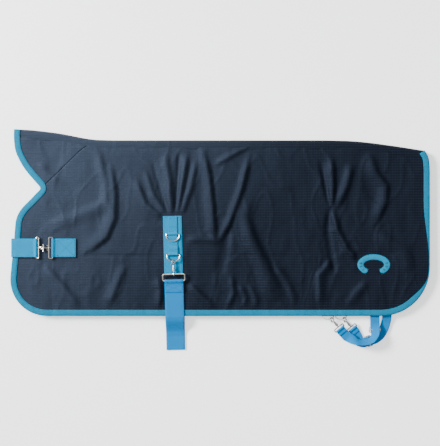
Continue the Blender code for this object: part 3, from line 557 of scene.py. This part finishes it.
# Padded cloth: a thick copy of the solid is remeshed, then pressed to its real thickness and draped
cloth = {
    "voxel": 4.0,
    "tall": 26,  # while it is remeshed, so that the voxels don't eat through it
    "shrink": 7,  # of the edge that meets the spine's fold
    "shrinkFrom": 36,
    "droop": 3.0,  # of that edge
    "offDroop": 0.6,  # share of it on the off half
    "between": 0.1,  # shell and lining
    "swell": (18, 23.0, (1, 0.5), 1.2, 0.4),  # of the off half: scale, seed, stretch, height, least
    "padding": 0.35,
}


def makeCloth(name, node, low, high, finish, near):
    mesh = frame["nodes"][node].data.copy()
    piece = newPiece(name, mesh, finish)
    co = coordinates(mesh)
    middle = (co[:, 2].min() + co[:, 2].max()) / 2
    co[:, 2] = np.sign(co[:, 2] - middle) * cloth["tall"] / 2 * mm
    setCoordinates(mesh, co)
    remesh = piece.modifiers.new("remesh", "REMESH")
    remesh.mode = "VOXEL"
    remesh.voxel_size = cloth["voxel"] * mm
    remesh.use_smooth_shade = True
    applied(piece)
    co = coordinates(piece.data)
    share = np.clip(co[:, 2] / (cloth["tall"] * mm) + 0.5, 0, 1)
    flat = co[:, :2].copy()
    start = cloth["shrinkFrom"] * mm
    inner = smoothstep(0, start, flat[:, 1] - topAt(flat[:, 0]) + start)
    co[:, 1] -= cloth["shrink"] * mm * inner
    co[:, 2] = low + (high - low) * share
    if near:
        co[:, 2] += drape(co[:, :2]) - cloth["droop"] * mm * inner ** 2
    else:
        co[:, 2] += cloth["droop"] * mm * inner ** 2 * cloth["offDroop"]
        *kind, height, least = cloth["swell"]
        co[:, 2] += (crumple(flat, *kind) * height * mm + least * mm) * share
    setCoordinates(piece.data, co)
    return piece


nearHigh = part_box("near_body_shell")[1]
liningLow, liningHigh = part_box("near_lining")
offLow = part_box("off_body_shell")[0]
offLiningLow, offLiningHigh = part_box("off_lining")


def makeHalves():
    step = cloth["between"] * mm
    nearShell = ("near_half", liningHigh.z + step, nearHigh.z, shellFinish, "shell")
    nearInside = ("near_half", liningLow.z, liningHigh.z, liningFinish, "lining")
    offShell = ("off_half", offLow.z, offLiningLow.z - step, shellFinish, "shell")
    offInside = ("off_half", offLiningLow.z, offLiningHigh.z, liningFinish, "lining")
    layers = {  # piece: body, its lowest and highest point, finish, slot; CAD nodes
        "nearBody": (nearShell, ["near_body_shell", "near_fill"]),
        "nearCollar": (nearShell, ["near_collar_shell"]),
        "nearLining": (nearInside, ["near_lining"]),
        "offBody": (offShell, ["off_body_shell", "off_fill"]),
        "offCollar": (offShell, ["off_collar_shell"]),
        "offLining": (offInside, ["off_lining"]),
    }
    made = {}
    for name, ((body, low, high, finish, slot), nodes) in layers.items():
        made[name] = makeCloth(name, nodes[0], low, high, finish, body == "near_half")
        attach(made[name], body)
        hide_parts(*nodes)


makeHalves()
print("halves made")


# Flat cloth carried along a line
cutSide = {"bevel": 0.22, "segments": 2, "angle": 60}  # the bevel as a share of the thickness


def gridPiece(name, columns, rows, place, finish, thickness, size):
    # a grid whose points are placed by their shares along and across, then given a thickness
    shape = bmesh.new()
    bmesh.ops.create_grid(shape, x_segments=columns, y_segments=rows, size=1)
    weaveMap = shape.loops.layers.uv.new("weave")
    shares = {v: ((v.co.x + 1) / 2, (v.co.y + 1) / 2) for v in shape.verts}
    for face in shape.faces:
        for loop in face.loops:
            u, v = shares[loop.vert]
            loop[weaveMap].uv = (u * size[0], v * size[1])
    for vert, (u, v) in shares.items():
        vert.co = place(u, v)
    mesh = bpy.data.meshes.new(name)
    shape.to_mesh(mesh)
    shape.free()
    piece = newPiece(name, mesh, finish)
    solid = piece.modifiers.new("thickness", "SOLIDIFY")
    solid.thickness = thickness
    solid.offset = 0
    edge = piece.modifiers.new("edge", "BEVEL")
    edge.width = thickness * cutSide["bevel"]
    edge.segments = cutSide["segments"]
    edge.limit_method = "ANGLE"
    edge.angle_limit = math.radians(cutSide["angle"])
    applied(piece)
    piece.data.shade_smooth()
    return piece


def valuesAt(at, places, table):
    # a row of a table, read between its own rows
    return [np.interp(at, places, table[:, k]) for k in range(table.shape[1])]


def smoothPath(points, steps=6):
    # a curve through every point
    points = [Vector(p) for p in points]
    ends = [2 * points[0] - points[1], *points, 2 * points[-1] - points[-2]]
    curve = [points[0]]
    for a, b, c, d in zip(ends, ends[1:], ends[2:], ends[3:]):
        for index in range(1, steps + 1):
            t = index / steps
            curve.append(0.5 * (2 * b + (c - a) * t + (2 * a - 5 * b + 4 * c - d) * t * t
                                + (3 * b - a - 3 * c + d) * t ** 3))
    return curve


def makeWebbing(name, path, width, finish, side=None, sides=None, thickness=1.6 * mm, pitch=2.5 * mm, rows=8):
    # path: points in space; side: the direction of the webbing's width; sides: the same at each point
    path = np.array([tuple(p) for p in path], float)
    sides = np.array([tuple(s) for s in sides or [side] * len(path)], float)
    lengths = np.concatenate([[0], np.cumsum(np.linalg.norm(np.diff(path, axis=0), axis=1))])
    whole = lengths[-1]

    def place(u, v):
        across = Vector(valuesAt(u * whole, lengths, sides)).normalized()
        return Vector(valuesAt(u * whole, lengths, path)) + across * (v - 0.5) * width

    columns = max(int(whole / pitch), 8)
    return gridPiece(name, columns, rows, place, finish, thickness, (whole, width))


# Edge tape: folded over the cut edge, with the fabric's roll hiding it on part of the tail
tape = {
    "width": 16,
    "thickness": 1.0,
    "over": 1.4,  # beyond the cut edge
    "lip": 2.2,  # inside it, where the turn begins
    "stand": 0.75,  # off the cloth, to the middle of the tape
    "pitch": 5,
    "hidden": 0.84,  # share of the width that the roll hides
    "tuck": 0.5,
    "rollTop": (100, -50),  # where the roll begins and is whole, down the tail
    "rollFoot": (-165, -95),
    "rollFront": (470, 500),
}
tapeLine = evenly(boundEdge, tape["pitch"] * mm)
for _ in range(2):
    tapeLine[1:-1] = (tapeLine[:-2] + 2 * tapeLine[1:-1] + tapeLine[2:]) / 4
tapeStep = np.gradient(tapeLine, axis=0)
tapeStep /= np.linalg.norm(tapeStep, axis=1)[:, None]
tapeOut = np.stack([tapeStep[:, 1], -tapeStep[:, 0]], axis=1)


def onTape(at, reach, height, rolled):
    # a point so far beyond the cut edge, tucked back where the fabric has rolled over the tape
    places = range(len(tapeLine))
    point = np.array(valuesAt(at, places, tapeLine))
    away = np.array(valuesAt(at, places, tapeOut))
    away /= np.linalg.norm(away)
    if rolled:
        hide = 1.0
        for zone, axis in (("rollTop", 1), ("rollFoot", 1), ("rollFront", 0)):
            start, end = tape[zone]
            hide *= smoothstep(start * mm, end * mm, point[axis])
        share = tape["hidden"] * hide
        reach = reach * (1 - share) + tape["over"] * mm * share
        height -= tape["tuck"] * mm * hide
    x, y = point + away * reach
    return Vector((x, y, height))


def makeTape(name, node, low, high, body, near):
    width, over, lip = tape["width"] * mm, tape["over"] * mm, tape["lip"] * mm
    middle, radius = (low + high) / 2, (high - low) / 2
    profile = [(-width + over, high), (-width * 0.5, high), (-lip, high)]
    profile += [(-lip + (lip + over) * math.cos(a), middle + radius * math.sin(a))
                for a in (math.radians(60 - 30 * k) for k in range(5))]
    profile += [(-lip, low), (-width * 0.5, low), (-width + over, low)]
    profile = np.array(profile)
    count = len(tapeLine) - 1

    def place(u, v):
        reach, height = valuesAt(v * (len(profile) - 1), range(len(profile)), profile)
        return onTape(u * count, reach, height, near and height > middle)

    piece = gridPiece(name, count, len(profile) - 1, place, tapeFinish, tape["thickness"] * mm,
                      (count * tape["pitch"] * mm, 2 * width))
    if near:
        co = coordinates(piece.data)
        co[:, 2] += drape(co[:, :2])
        setCoordinates(piece.data, co)
    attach(piece, body)
    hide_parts(node)


stand = tape["stand"] * mm
nearUnder, nearOver = liningLow.z - stand, nearHigh.z + stand
offUnder, offOver = offLow.z - stand, offLiningHigh.z + stand
makeTape("nearTape", "near_binding", nearUnder, nearOver, "near_half", True)
makeTape("offTape", "off_binding", offUnder, offOver, "off_half", False)
print("tape sewn on")


# The fold along the spine
spine = {
    "reach": 24,  # under each half
    "bend": 9,
    "flat": 5,  # before the bend
    "thickness": 1.2,
    "sunk": 0.9,  # below the halves' outer faces
    "flatSunk": 0.2,
    "reachSunk": 0.8,
    "pitch": 9,
    "hinge": 3.2,  # half the height of its hinge, for when the rug opens
}


def makeSpineFold():
    line = evenly(topEdge, spine["pitch"] * mm)
    sunk, reach, bend, flat = (spine[key] * mm for key in ("sunk", "reach", "bend", "flat"))
    high, low = nearHigh.z - sunk, offLow.z + sunk
    middle, radius = (high + low) / 2, (high - low) / 2
    reachSunk, flatSunk = spine["reachSunk"] * mm, spine["flatSunk"] * mm
    profile = [(-reach, high - reachSunk), (-bend - flat, high - flatSunk)]
    profile += [(-bend + bend * math.cos(a), middle + radius * math.sin(a))
                for a in (math.radians(90 - 15 * k) for k in range(13))]
    profile += [(-bend - flat, low + flatSunk), (-reach, low + reachSunk)]
    profile = np.array(profile)
    columns, rows = len(line) - 1, len(profile) - 1

    def place(u, v):
        x, y = valuesAt(u * columns, range(len(line)), line)
        out, height = valuesAt(v * rows, range(len(profile)), profile)
        return Vector((x, y + out, height))

    piece = gridPiece("spineFold", columns, rows, place, shellFinish, spine["thickness"] * mm, (1, 0.1))
    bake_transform(piece)


makeSpineFold()


# Webbing straps
wide = 49 * mm
narrow = 24.5 * mm
thick = 1.6 * mm
gap = 0.3 * mm  # between two layers
layer = thick + gap
boundHem = hemY - 1.3 * mm  # the hem with its tape


def turnRound(bar, base, radius, slope=32, steps=14):
    # beneath a bar, up round it and down on itself, as (place, height)
    reach = radius + gap + thick / 2
    points = []
    for index in range(steps + 1):
        angle = math.radians(-90 + (180 + slope) * index / steps)
        points.append((bar + reach * math.cos(angle), base + reach + reach * math.sin(angle)))
    second = base + layer
    fall = (points[-1][1] - second) / math.tan(math.radians(slope))
    return points + [(points[-1][0] - fall, second)]


chest = {
    "width": 48.5,
    "ring": 1.6,
    "lead": 20,  # flat beneath the halves
    "tight": 1.4,  # radius of its two square bends
    "bend": (0.5, 1.0, 1.5),
    "wall": (5, 12),
    "top": 3,
    "return": 9,
    "hinge": (-2.5, 1.5),  # heights of the two ends of a line across the fold
    "seat": (15, 3),  # the patch's stitched box, in from its ends
    "margin": 3,
    "seam": 11,
}


def makeChestWebbing():
    fold, bar = jointAt["chest_strap_swing"], jointAt["chest_hook_swing"]
    wall, y = fold.x, fold.y
    low = thick / 2
    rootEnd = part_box("chest_strap_root")[1].x
    radius, tight = chest["ring"] * mm, chest["tight"] * mm
    lie = bar.z - radius - gap - thick / 2
    arc = [(tight * math.sin(a), tight * math.cos(a)) for a in chest["bend"]]
    path = [(rootEnd, low), (wall + chest["lead"] * mm, low), (wall + tight, low)]
    path += [(wall + tight - s, low + tight - c) for s, c in arc]
    path += [(wall, height * mm) for height in chest["wall"]] + [(wall, lie - tight)]
    path += [(wall + tight - c, lie - tight + s) for s, c in arc]
    path += [(wall + chest["top"] * mm, lie)] + turnRound(bar.x, lie, radius)
    path += [(wall + chest["return"] * mm, lie + layer)]
    points = [(x, y, z) for x, z in path]
    piece = makeWebbing("chestStrap", points, chest["width"] * mm, patchFinish, (0, -1, 0))
    start, end = ((wall, y, fold.z + height * mm) for height in chest["hinge"])
    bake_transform(piece)
    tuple(start)
    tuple(end)
    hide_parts("chest_strap_root", "chest_strap")

    low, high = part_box("near_chest_patch")
    base = low.z + thick / 2
    barX = low.x + radius + gap + thick
    path = [(high.x, base)] + [(2 * barX - x, z) for x, z in turnRound(barX, base, radius)]
    path += [(high.x, base + layer)]
    points = [(x, y, z) for x, z in path]
    piece = makeWebbing("chestPatch", points, chest["width"] * mm, patchFinish, (0, 1, 0))
    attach(piece, "near_half")
    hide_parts("near_chest_patch")


makeChestWebbing()

belly = {
    "tilt": 1.4,
    "patch": 150,
    "patchStep": 10,
    "upperD": 47,
    "lowerD": 100,
    "dWire": 1.35,
    "loopWire": 2.1,
    "ends": (16, 17.5, 22),  # the ring tape's, short of the lower D
    "arch": range(40, 141, 12),  # degrees, over the upper D's wire
    "slope": 40,
    "tapeTop": 2,
    "tapePitch": 1.2,
    "strapPitch": 2,
    "loopBack": 30,
    "drop": (4, 16, 38, 54),  # past the hem
    "ease": 3.5,
    "beforeFold": 2,
    "foldArc": (0.5, 1.05, 1.57, 2.1, 2.64),
    "return": 150,
    "returnSteps": 7,
    "returnTurn": 0.6,
    "slack": 0.03,
    "seams": (6, 28, 60),
    "tailSeam": 12,  # short of the lower D
    "box": (11, 27),  # stitched box below the loop's bar
}


def alongBelly():
    # places down the belly patch and strap, measured from the middle of the patch's top edge
    tilt = math.radians(belly["tilt"])
    down = Vector((math.sin(tilt), -math.cos(tilt), 0))
    low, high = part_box("belly_patch")
    top = Vector(((low.x + high.x) / 2, (low.y + high.y) / 2, 0)) - down * belly["patch"] / 2 * mm
    across = Vector((-down.y, down.x, 0))
    return lambda distance, height: top + down * distance + Vector((0, 0, height)), across


def makeBellyWebbing():
    at, across = alongBelly()
    top, down = at(0, 0), at(1, 0) - at(0, 0)
    tilt = math.radians(belly["tilt"])
    patchLow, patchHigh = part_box("belly_patch")
    sewn = patchLow.z + thick / 2
    path = [at(d * mm, sewn) for d in range(0, belly["patch"] + 1, belly["patchStep"])]
    patch = makeWebbing("bellyPatch", path, wide, patchFinish, across)
    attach(patch, "near_half")
    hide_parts("belly_patch")

    lie = patchHigh.z + gap + thick / 2
    wire = belly["dWire"] * mm
    hump = patchHigh.z + gap + wire
    over = wire + gap + thick / 2
    upper, lower = belly["upperD"] * mm, belly["lowerD"] * mm
    first, second, third = (lower - end * mm for end in belly["ends"])
    line = [(first, lie)] + turnRound(lower, lie, wire) + [(second, lie + layer), (third, lie)]
    arch = [math.radians(a) for a in belly["arch"]]
    rise = [(upper + over * math.cos(a), hump + over * math.sin(a)) for a in arch]
    foot = (rise[0][1] - lie) * math.tan(math.radians(belly["slope"]))
    line += [(rise[0][0] + foot, lie)] + rise + [(rise[-1][0] - foot, lie), (belly["tapeTop"] * mm, lie)]
    points = [at(d, z) for d, z in line]
    holder = makeWebbing("ringTape", points, narrow, patchFinish, across, pitch=belly["tapePitch"] * mm)
    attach(holder, "near_half")
    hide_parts("d_ring_tape")

    bar = jointAt["belly_ring_swing"]
    fold = jointAt["belly_strap_swing"]
    hemAt = (top.y - boundHem) / math.cos(tilt)
    barAt = (bar - top).to_2d().dot(down.to_2d())
    foldAt = (fold - top).to_2d().dot(down.to_2d())
    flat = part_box("near_binding")[1].z + gap + thick / 2
    low = thick / 2
    rest = low + layer
    turn = [(2 * barAt - d, z) for d, z in turnRound(barAt, flat, belly["loopWire"] * mm)]
    line = [(barAt + belly["loopBack"] * mm, flat + layer)] + turn[::-1]
    ease = belly["ease"] * mm
    heights = (flat, flat - ease, rest + ease, rest)
    line += [tuple(p) for p in smoothPath([(hemAt + d * mm, z) for d, z in zip(belly["drop"], heights)])]
    line += [(foldAt - belly["beforeFold"] * mm, rest)]
    radius = (rest - low) / 2
    line += [(foldAt - radius + radius * math.sin(a), low + radius + radius * math.cos(a))
             for a in belly["foldArc"]]
    points = [at(d, z) for d, z in line]
    sides = [across] * len(points)
    skew = math.tan(math.radians(belly["returnTurn"]))
    for index in range(1, belly["returnSteps"] + 1):
        back = index / belly["returnSteps"] * belly["return"] * mm
        points.append(at(foldAt - radius - back, low) + across * back * skew)
        sides.append(across)
    pitch = belly["strapPitch"] * mm
    strap = makeWebbing("bellyStrap", points, wide, strapFinish, sides=sides, pitch=pitch)
    # a short line across the gap between the two layers, at the fold
    between, bends = (low + rest) / 2, gap / 2 - belly["slack"] * mm
    start, end = ((fold.x, fold.y, between + way * bends) for way in (-1, 1))
    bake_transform(strap)
    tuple(start)
    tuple(end)
    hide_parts("belly_strap", "belly_strap_root")


makeBellyWebbing()
print("chest and belly webbing made")


# Leg straps and their tabs
legs = {
    "near": {
        "first": [(0, 30), (0, 8), (0, -20)],
        "last": [(0, -48), (-7, -61), (-22, -68), (-44, -68)],
        "ramp": (78, 140),
        "turn": 1,
        "level": None,
        "twist": 58,
    },
    "off": {
        "first": [(0, 30), (0, 8), (-1, -12), (-7, -34), (-18, -52), (-31, -62)],
        "last": [(-62, -72), (-76, -66)],
        "ramp": (136, 164),
        "turn": -1,
        "level": 4.9,
        "twist": 0,
    },
}
legStrap = {
    "heading": 40,  # degrees, the way that it runs into the snap
    "wire": 1.35,
    "eyeToBar": 33.25,
    "join": 24,
    "curve": 8,
    "leave": (31, 51),  # places along it
    "twistIn": (60, 92),
    "twistOut": (4, 40),  # short of its join
    "tail": 8,
    "pitch": 2,
}


def makeLegStrap(side):
    leg = legs[side]
    anchor, snap = jointAt[side + "_leg_swing"], jointAt[side + "_snap_turn"]
    heading = math.radians(legStrap["heading"])
    into = Vector((-math.sin(heading), math.cos(heading)))
    wire, curve = legStrap["wire"] * mm, legStrap["curve"]
    bar = Vector((snap.x, snap.y)) - into * legStrap["eyeToBar"] * mm
    loopZ = snap.z - (wire + gap + thick / 2)
    joined = bar - into * legStrap["join"] * mm
    first = [(anchor.x + x * mm, boundHem + y * mm, 0) for x, y in leg["first"]]
    last = [(anchor.x + x * mm, boundHem + y * mm, 0) for x, y in leg["last"]]
    route = smoothPath(first, curve) + smoothPath(last + [(joined.x, joined.y, 0)], curve)
    lengths = [0.0]
    for a, b in zip(route, route[1:]):
        lengths.append(lengths[-1] + (b - a).length)
    whole = lengths[-1]
    level = leg["level"] * mm if leg["level"] else anchor.z
    places = [place * mm for place in (0, *legStrap["leave"], *leg["ramp"])]
    stops = list(zip(places, (anchor.z, anchor.z, level, level, loopZ)))
    twistStart, twistWhole = (place * mm for place in legStrap["twistIn"])
    twistGone, twistEnding = (whole - place * mm for place in legStrap["twistOut"])
    path, sides = [], []
    for index, point in enumerate(route):
        here = lengths[index]
        height = stops[0][1]
        for (start, a), (end, b) in zip(stops, stops[1:]):
            if here > start:
                height = a + (b - a) * float(smoothstep(start, end, here))
        along = (route[min(index + 1, len(route) - 1)] - route[max(index - 1, 0)]).normalized()
        across = Vector((-along.y, along.x, 0))
        share = smoothstep(twistStart, twistWhole, here) * smoothstep(twistGone, twistEnding, here)
        twist = math.radians(leg["twist"]) * float(share)
        across = across * math.cos(twist) + Vector((0, 0, math.sin(twist)))
        path.append(Vector((point.x, point.y, height + narrow / 2 * math.sin(twist))))
        sides.append(across)
    flatSide = Vector((-into.y, into.x, 0))
    for distance, height in turnRound(0, 0, wire):
        at = bar + into * distance
        path.append(Vector((at.x, at.y, loopZ + height)))
        sides.append(flatSide)
    path.append(path[-1] - Vector((into.x, into.y, 0)) * legStrap["tail"] * mm)
    sides.append(flatSide)
    pitch = legStrap["pitch"] * mm
    strap = makeWebbing(side + "LegStrap", path, narrow, strapFinish, sides=sides, pitch=pitch)
    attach(strap, side + "_leg_strap")
    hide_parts(side + "_leg_strap")


tabs = {"arc": range(90, -123, -15), "inner": 9}


def makeTab(side):
    low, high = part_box(side + "_leg_tab")
    up = legs[side]["turn"]
    middle = (low.z + high.z) / 2
    barY = low.y + legStrap["wire"] * mm + layer
    reach = (high.z - low.z) / 2 - thick / 2
    centre = (low.x + high.x) / 2
    steps = [math.radians(a) for a in tabs["arc"]]
    path = [(high.y, up * reach), (barY, up * reach)]
    path += [(barY - reach * math.cos(a), up * reach * math.sin(a)) for a in steps]
    path += [(place, up * (reach - layer)) for place in (barY + tabs["inner"] * mm, high.y)]
    points = [(centre, y, middle + z) for y, z in path]
    tab = makeWebbing(side + "LegTab", points, narrow, tapeFinish, (1, 0, 0))
    bodies = frame["record"]["behaviour"]["bodies"]
    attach(tab, next(body for body, nodes in bodies.items() if side + "_leg_tab" in nodes))
    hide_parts(side + "_leg_tab")


for side in legs:
    makeLegStrap(side)
    makeTab(side)
print("leg straps made")


# Rows of stitches: each stitch is a small bead lying on the cloth
stitches = {
    "pitch": 3.4,
    "length": 2.6,
    "wide": 0.95,
    "high": 0.5,
    "lift": 0.1,  # off the cloth
    "tapeInset": 2.4,
    "patchInset": 3,
    "patchSide": 2.6,
    "seamSide": 2,
    "tapeBox": [(221, 1.5), (250, 1.5), (250, 12), (221, 12), (221, 1.5)],
}


def makeBead():
    shape = bmesh.new()
    bmesh.ops.create_uvsphere(shape, u_segments=6, v_segments=4, radius=0.5)
    mesh = bpy.data.meshes.new("bead")
    shape.to_mesh(mesh)
    shape.free()
    return mesh


def makeStitches(name, lines, body, finish, wide=stitches["wide"]):
    bead = makeBead()
    plain = coordinates(bead)
    shape = bmesh.new()
    for line in lines:
        row = evenly([tuple(point) for point in line], stitches["pitch"] * mm)
        for start, end in zip(row, row[1:]):
            along = Vector(end - start)
            turn = np.array(along.to_track_quat("X", "Z").to_matrix())
            long = along.length * stitches["length"] / stitches["pitch"]
            size = np.array([long, wide * mm, stitches["high"] * mm])
            setCoordinates(bead, (plain * size) @ turn.T + (start + end) / 2)
            shape.from_mesh(bead)
    mesh = bpy.data.meshes.new(name)
    shape.to_mesh(mesh)
    shape.free()
    bpy.data.meshes.remove(bead)
    piece = newPiece(name, mesh, finish)
    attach(piece, body)


def draped(points):
    lifts = drape(np.array([tuple(p)[:2] for p in points]))
    return [Vector((p[0], p[1], p[2] + lift)) for p, lift in zip(points, lifts)]


def sewTape():
    inset = -(tape["width"] - tape["over"] - stitches["tapeInset"]) * mm
    places = range(1, len(tapeLine) - 1)
    skin = (tape["thickness"] / 2 + stitches["lift"]) * mm
    outside, inside = nearOver + skin, nearUnder - skin
    upper = draped([onTape(at, inset, outside, True) for at in places])
    lower = draped([onTape(at, inset, inside, False) for at in places])
    box = draped([(x * mm, hemY + y * mm, outside) for x, y in stitches["tapeBox"]])
    makeStitches("nearTapeStitches", [upper, lower, box], "near_half", threadFinish)
    heights = (offUnder - skin, offOver + skin)
    rows = [[onTape(at, inset, height, False) for at in places] for height in heights]
    makeStitches("offTapeStitches", rows, "off_half", threadFinish)


def crossed(corners):
    # a box of stitches with its two diagonals
    return [corners + corners[:1], corners[0::2], corners[1::2]]


def sewWebbing():
    lift = stitches["lift"] * mm
    low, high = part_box("near_chest_patch")
    top = low.z + layer + thick + lift
    left, right = low.x + chest["seat"][0] * mm, high.x - chest["seat"][1] * mm
    under, over = low.y + chest["margin"] * mm, high.y - chest["margin"] * mm
    box = [(left, under, top), (right, under, top), (right, over, top), (left, over, top)]
    seam = [(low.x + chest["seam"] * mm, y, top) for y in (under, over)]
    makeStitches("chestPatchStitches", [*crossed(box), seam], "near_half", threadFinish)

    at, across = alongBelly()
    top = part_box("belly_patch")[0].z + thick + lift
    side = wide / 2 - stitches["patchSide"] * mm
    first, last = stitches["patchInset"], belly["patch"] - stitches["patchInset"]
    corners = ((first, -1), (last, -1), (last, 1), (first, 1), (first, -1))
    rim = [at(d * mm, top) + across * s * side for d, s in corners]
    side = narrow / 2 - stitches["seamSide"] * mm
    rows = [(d, top + layer) for d in belly["seams"]]
    rows.append((belly["lowerD"] - belly["tailSeam"], top + 2 * layer))
    seams = [[at(d * mm, z) + across * s * side for s in (-1, 1)] for d, z in rows]
    makeStitches("bellyPatchStitches", [rim, *seams], "near_half", threadFinish)

    bar = jointAt["belly_ring_swing"]
    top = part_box("near_binding")[1].z + 2 * layer + lift
    barAt = (at(0, 0).y - bar.y) / math.cos(math.radians(belly["tilt"]))
    first, last = (barAt + d * mm for d in belly["box"])
    side = wide / 2 - stitches["patchInset"] * mm
    corners = ((first, -1), (last, -1), (last, 1), (first, 1))
    box = [at(d, top) + across * s * side for d, s in corners]
    makeStitches("bellyStrapStitches", crossed(box), "belly_strap", threadFinish)


sewTape()
sewWebbing()


# Embroidered badge: a satin-stitched horseshoe with its nail holes
badge = {
    "from": -62,
    "sweep": 304,
    "band": 13,
    "bandEnds": 14.95,
    "lift": 0.45,
    "crown": 0.35,
    "thick": 0.7,
    "round": 0.035,
    "narrowed": 0.2,
    "cells": (110, 10),
    "weave": (0.19, 0.0139),
    "nails": (-38, -14, 12, 168, 194, 218),
    "nail": (0.26, 0.74),
    "nailWide": 3.2,
    "rim": (-0.04, 1.04),
    "rimLift": 0.5,
    "rimSteps": 60,
}


def makeHorseshoe():
    low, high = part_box("emblem")
    middle = Vector((low.x + high.x, low.y + high.y, 0)) / 2
    length = (high.x - low.x) / 2
    width = (high.y - low.y) / (1 - math.sin(math.radians(badge["from"])))
    middle.y = high.y - width
    base = low.z + badge["lift"] * mm
    crown, narrowed = badge["crown"] * mm, badge["narrowed"]

    def onShoe(angle, share, height):
        angle = math.radians(angle)
        long, across = length - badge["bandEnds"] * mm, width - badge["band"] * mm
        outer = Vector((length * math.cos(angle), width * math.sin(angle), height))
        inner = Vector((long * math.cos(angle), across * math.sin(angle), height))
        return middle + inner.lerp(outer, share)

    def place(u, v):
        taper = min(1, math.sqrt(min(u, 1 - u) / badge["round"]))
        share = 0.5 + (v - 0.5) * (narrowed + (1 - narrowed) * taper)
        height = base + crown * math.sin(math.pi * v) * taper
        return onShoe(badge["from"] + badge["sweep"] * u, share, height)

    thickness = badge["thick"] * mm
    shoe = gridPiece("horseshoeBadge", *badge["cells"], place, emblemFinish, thickness, badge["weave"])
    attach(shoe, "near_half")
    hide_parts("emblem")
    top = base + crown + thickness / 2
    nails = [[onShoe(angle, share, top) for share in badge["nail"]] for angle in badge["nails"]]
    steps, rimAt = badge["rimSteps"], low.z + badge["rimLift"] * mm
    angles = [badge["from"] + badge["sweep"] * step / steps for step in range(steps + 1)]
    rims = [[onShoe(angle, share, rimAt) for angle in angles] for share in badge["rim"]]
    makeStitches("badgeNails", nails, "near_half", darkThreadFinish, badge["nailWide"])
    makeStitches("badgeRim", rims, "near_half", emblemThreadFinish)


makeHorseshoe()
print("stitching and badge made")


# Fittings and the spine seam keep their CAD shape and take new finishes
def refinish(node, finish):
    if not node.material_slots:
        node.data.materials.append(finish)
    for slot in node.material_slots:
        slot.material = finish


fittings = ("ring", "hook", "gate", "swivel", "catch", "slider")
for name, node in frame["nodes"].items():
    if any(word in name for word in fittings) and "tape" not in name:
        refinish(node, shineFinish if "leg_snap" in name else nickelFinish)
refinish(frame["nodes"]["spine_seam"], liningFinish)


# Floor, light and camera
studio = {
    "lens": 90,
    "centreY": 0.0442,
    "seen": 1.160,
    "lensHeight": 0.6,  # share of the rug's height that the distance is measured from
    "floor": (0.92, 0.92, 0.92),
    "floorSize": 9,
    "floorGap": 0.0005,
    "glow": 0.75,
    "cloud": 1.03,
    "cloudScale": 1.5,
    "sky": (0.93, 0.96, 1.0, 1),
    "skyPower": 0.50,
    "sunPower": 7.4,
    "sunAngle": 16,
    "sunWay": (0.78, -0.34, -0.56),
    "aim": (-0.1, 0, 0),
}
lamps = {
    "keyLight": {"place": (-1.35, 0.7, 0.9), "size": 0.8, "power": 26},
    "softLight": {"place": (0.2, 0.3, 2.6), "size": 2.4, "power": 30},
}


def makeStudio():
    shape = bmesh.new()
    bmesh.ops.create_grid(shape, x_segments=1, y_segments=1, size=studio["floorSize"])
    mesh = bpy.data.meshes.new("floor")
    shape.to_mesh(mesh)
    shape.free()
    mesh.transform(Matrix.Translation((0, 0, cadLow.z - studio["floorGap"])))
    glow = {"Emission_Color": (1, 1, 1, 1), "Emission_Strength": studio["glow"]}
    material, tree, shader = newFinish("paleFloor", 0.9, **glow)
    spot = tree.nodes.new("ShaderNodeTexCoord").outputs["Object"]
    inputs = {"Vector": spot, "Scale": studio["cloudScale"]}
    cloud = addNode(tree, "ShaderNodeTexNoise", inputs).outputs["Fac"]
    bright = tuple(value * studio["cloud"] for value in studio["floor"])
    tree.links.new(mixColour(tree, cloud, studio["floor"], bright), shader.inputs["Base Color"])
    newPiece("floor", mesh, material)
    world = bpy.data.worlds.new("studio")
    bpy.context.scene.world = world
    world.use_nodes = True
    background = world.node_tree.nodes["Background"]
    background.inputs["Color"].default_value = studio["sky"]
    background.inputs["Strength"].default_value = studio["skyPower"]

    def hang(name, light, aim):
        lamp = bpy.data.objects.new(name, light)
        lamp.rotation_mode = "QUATERNION"
        lamp.rotation_quaternion = aim.to_track_quat("-Z", "Y")
        bpy.context.scene.collection.objects.link(lamp)
        return lamp

    sun = bpy.data.lights.new("windowLight", "SUN")
    sun.energy = studio["sunPower"]
    sun.angle = math.radians(studio["sunAngle"])
    hang("windowLight", sun, Vector(studio["sunWay"]))
    for name, values in lamps.items():
        light = bpy.data.lights.new(name, "AREA")
        light.shape = "DISK"
        light.size = values["size"]
        light.energy = values["power"]
        aim = Vector(studio["aim"]) - Vector(values["place"])
        hang(name, light, aim).location = values["place"]
    data = bpy.data.cameras.new("camera")
    data.lens = studio["lens"]
    camera = bpy.data.objects.new("camera", data)
    away = cadHigh.z * studio["lensHeight"] + studio["seen"] * data.lens / data.sensor_width
    camera.location = (0, studio["centreY"], away)
    bpy.context.scene.collection.objects.link(camera)
    bpy.context.scene.camera = camera


makeStudio()
print("studio ready")
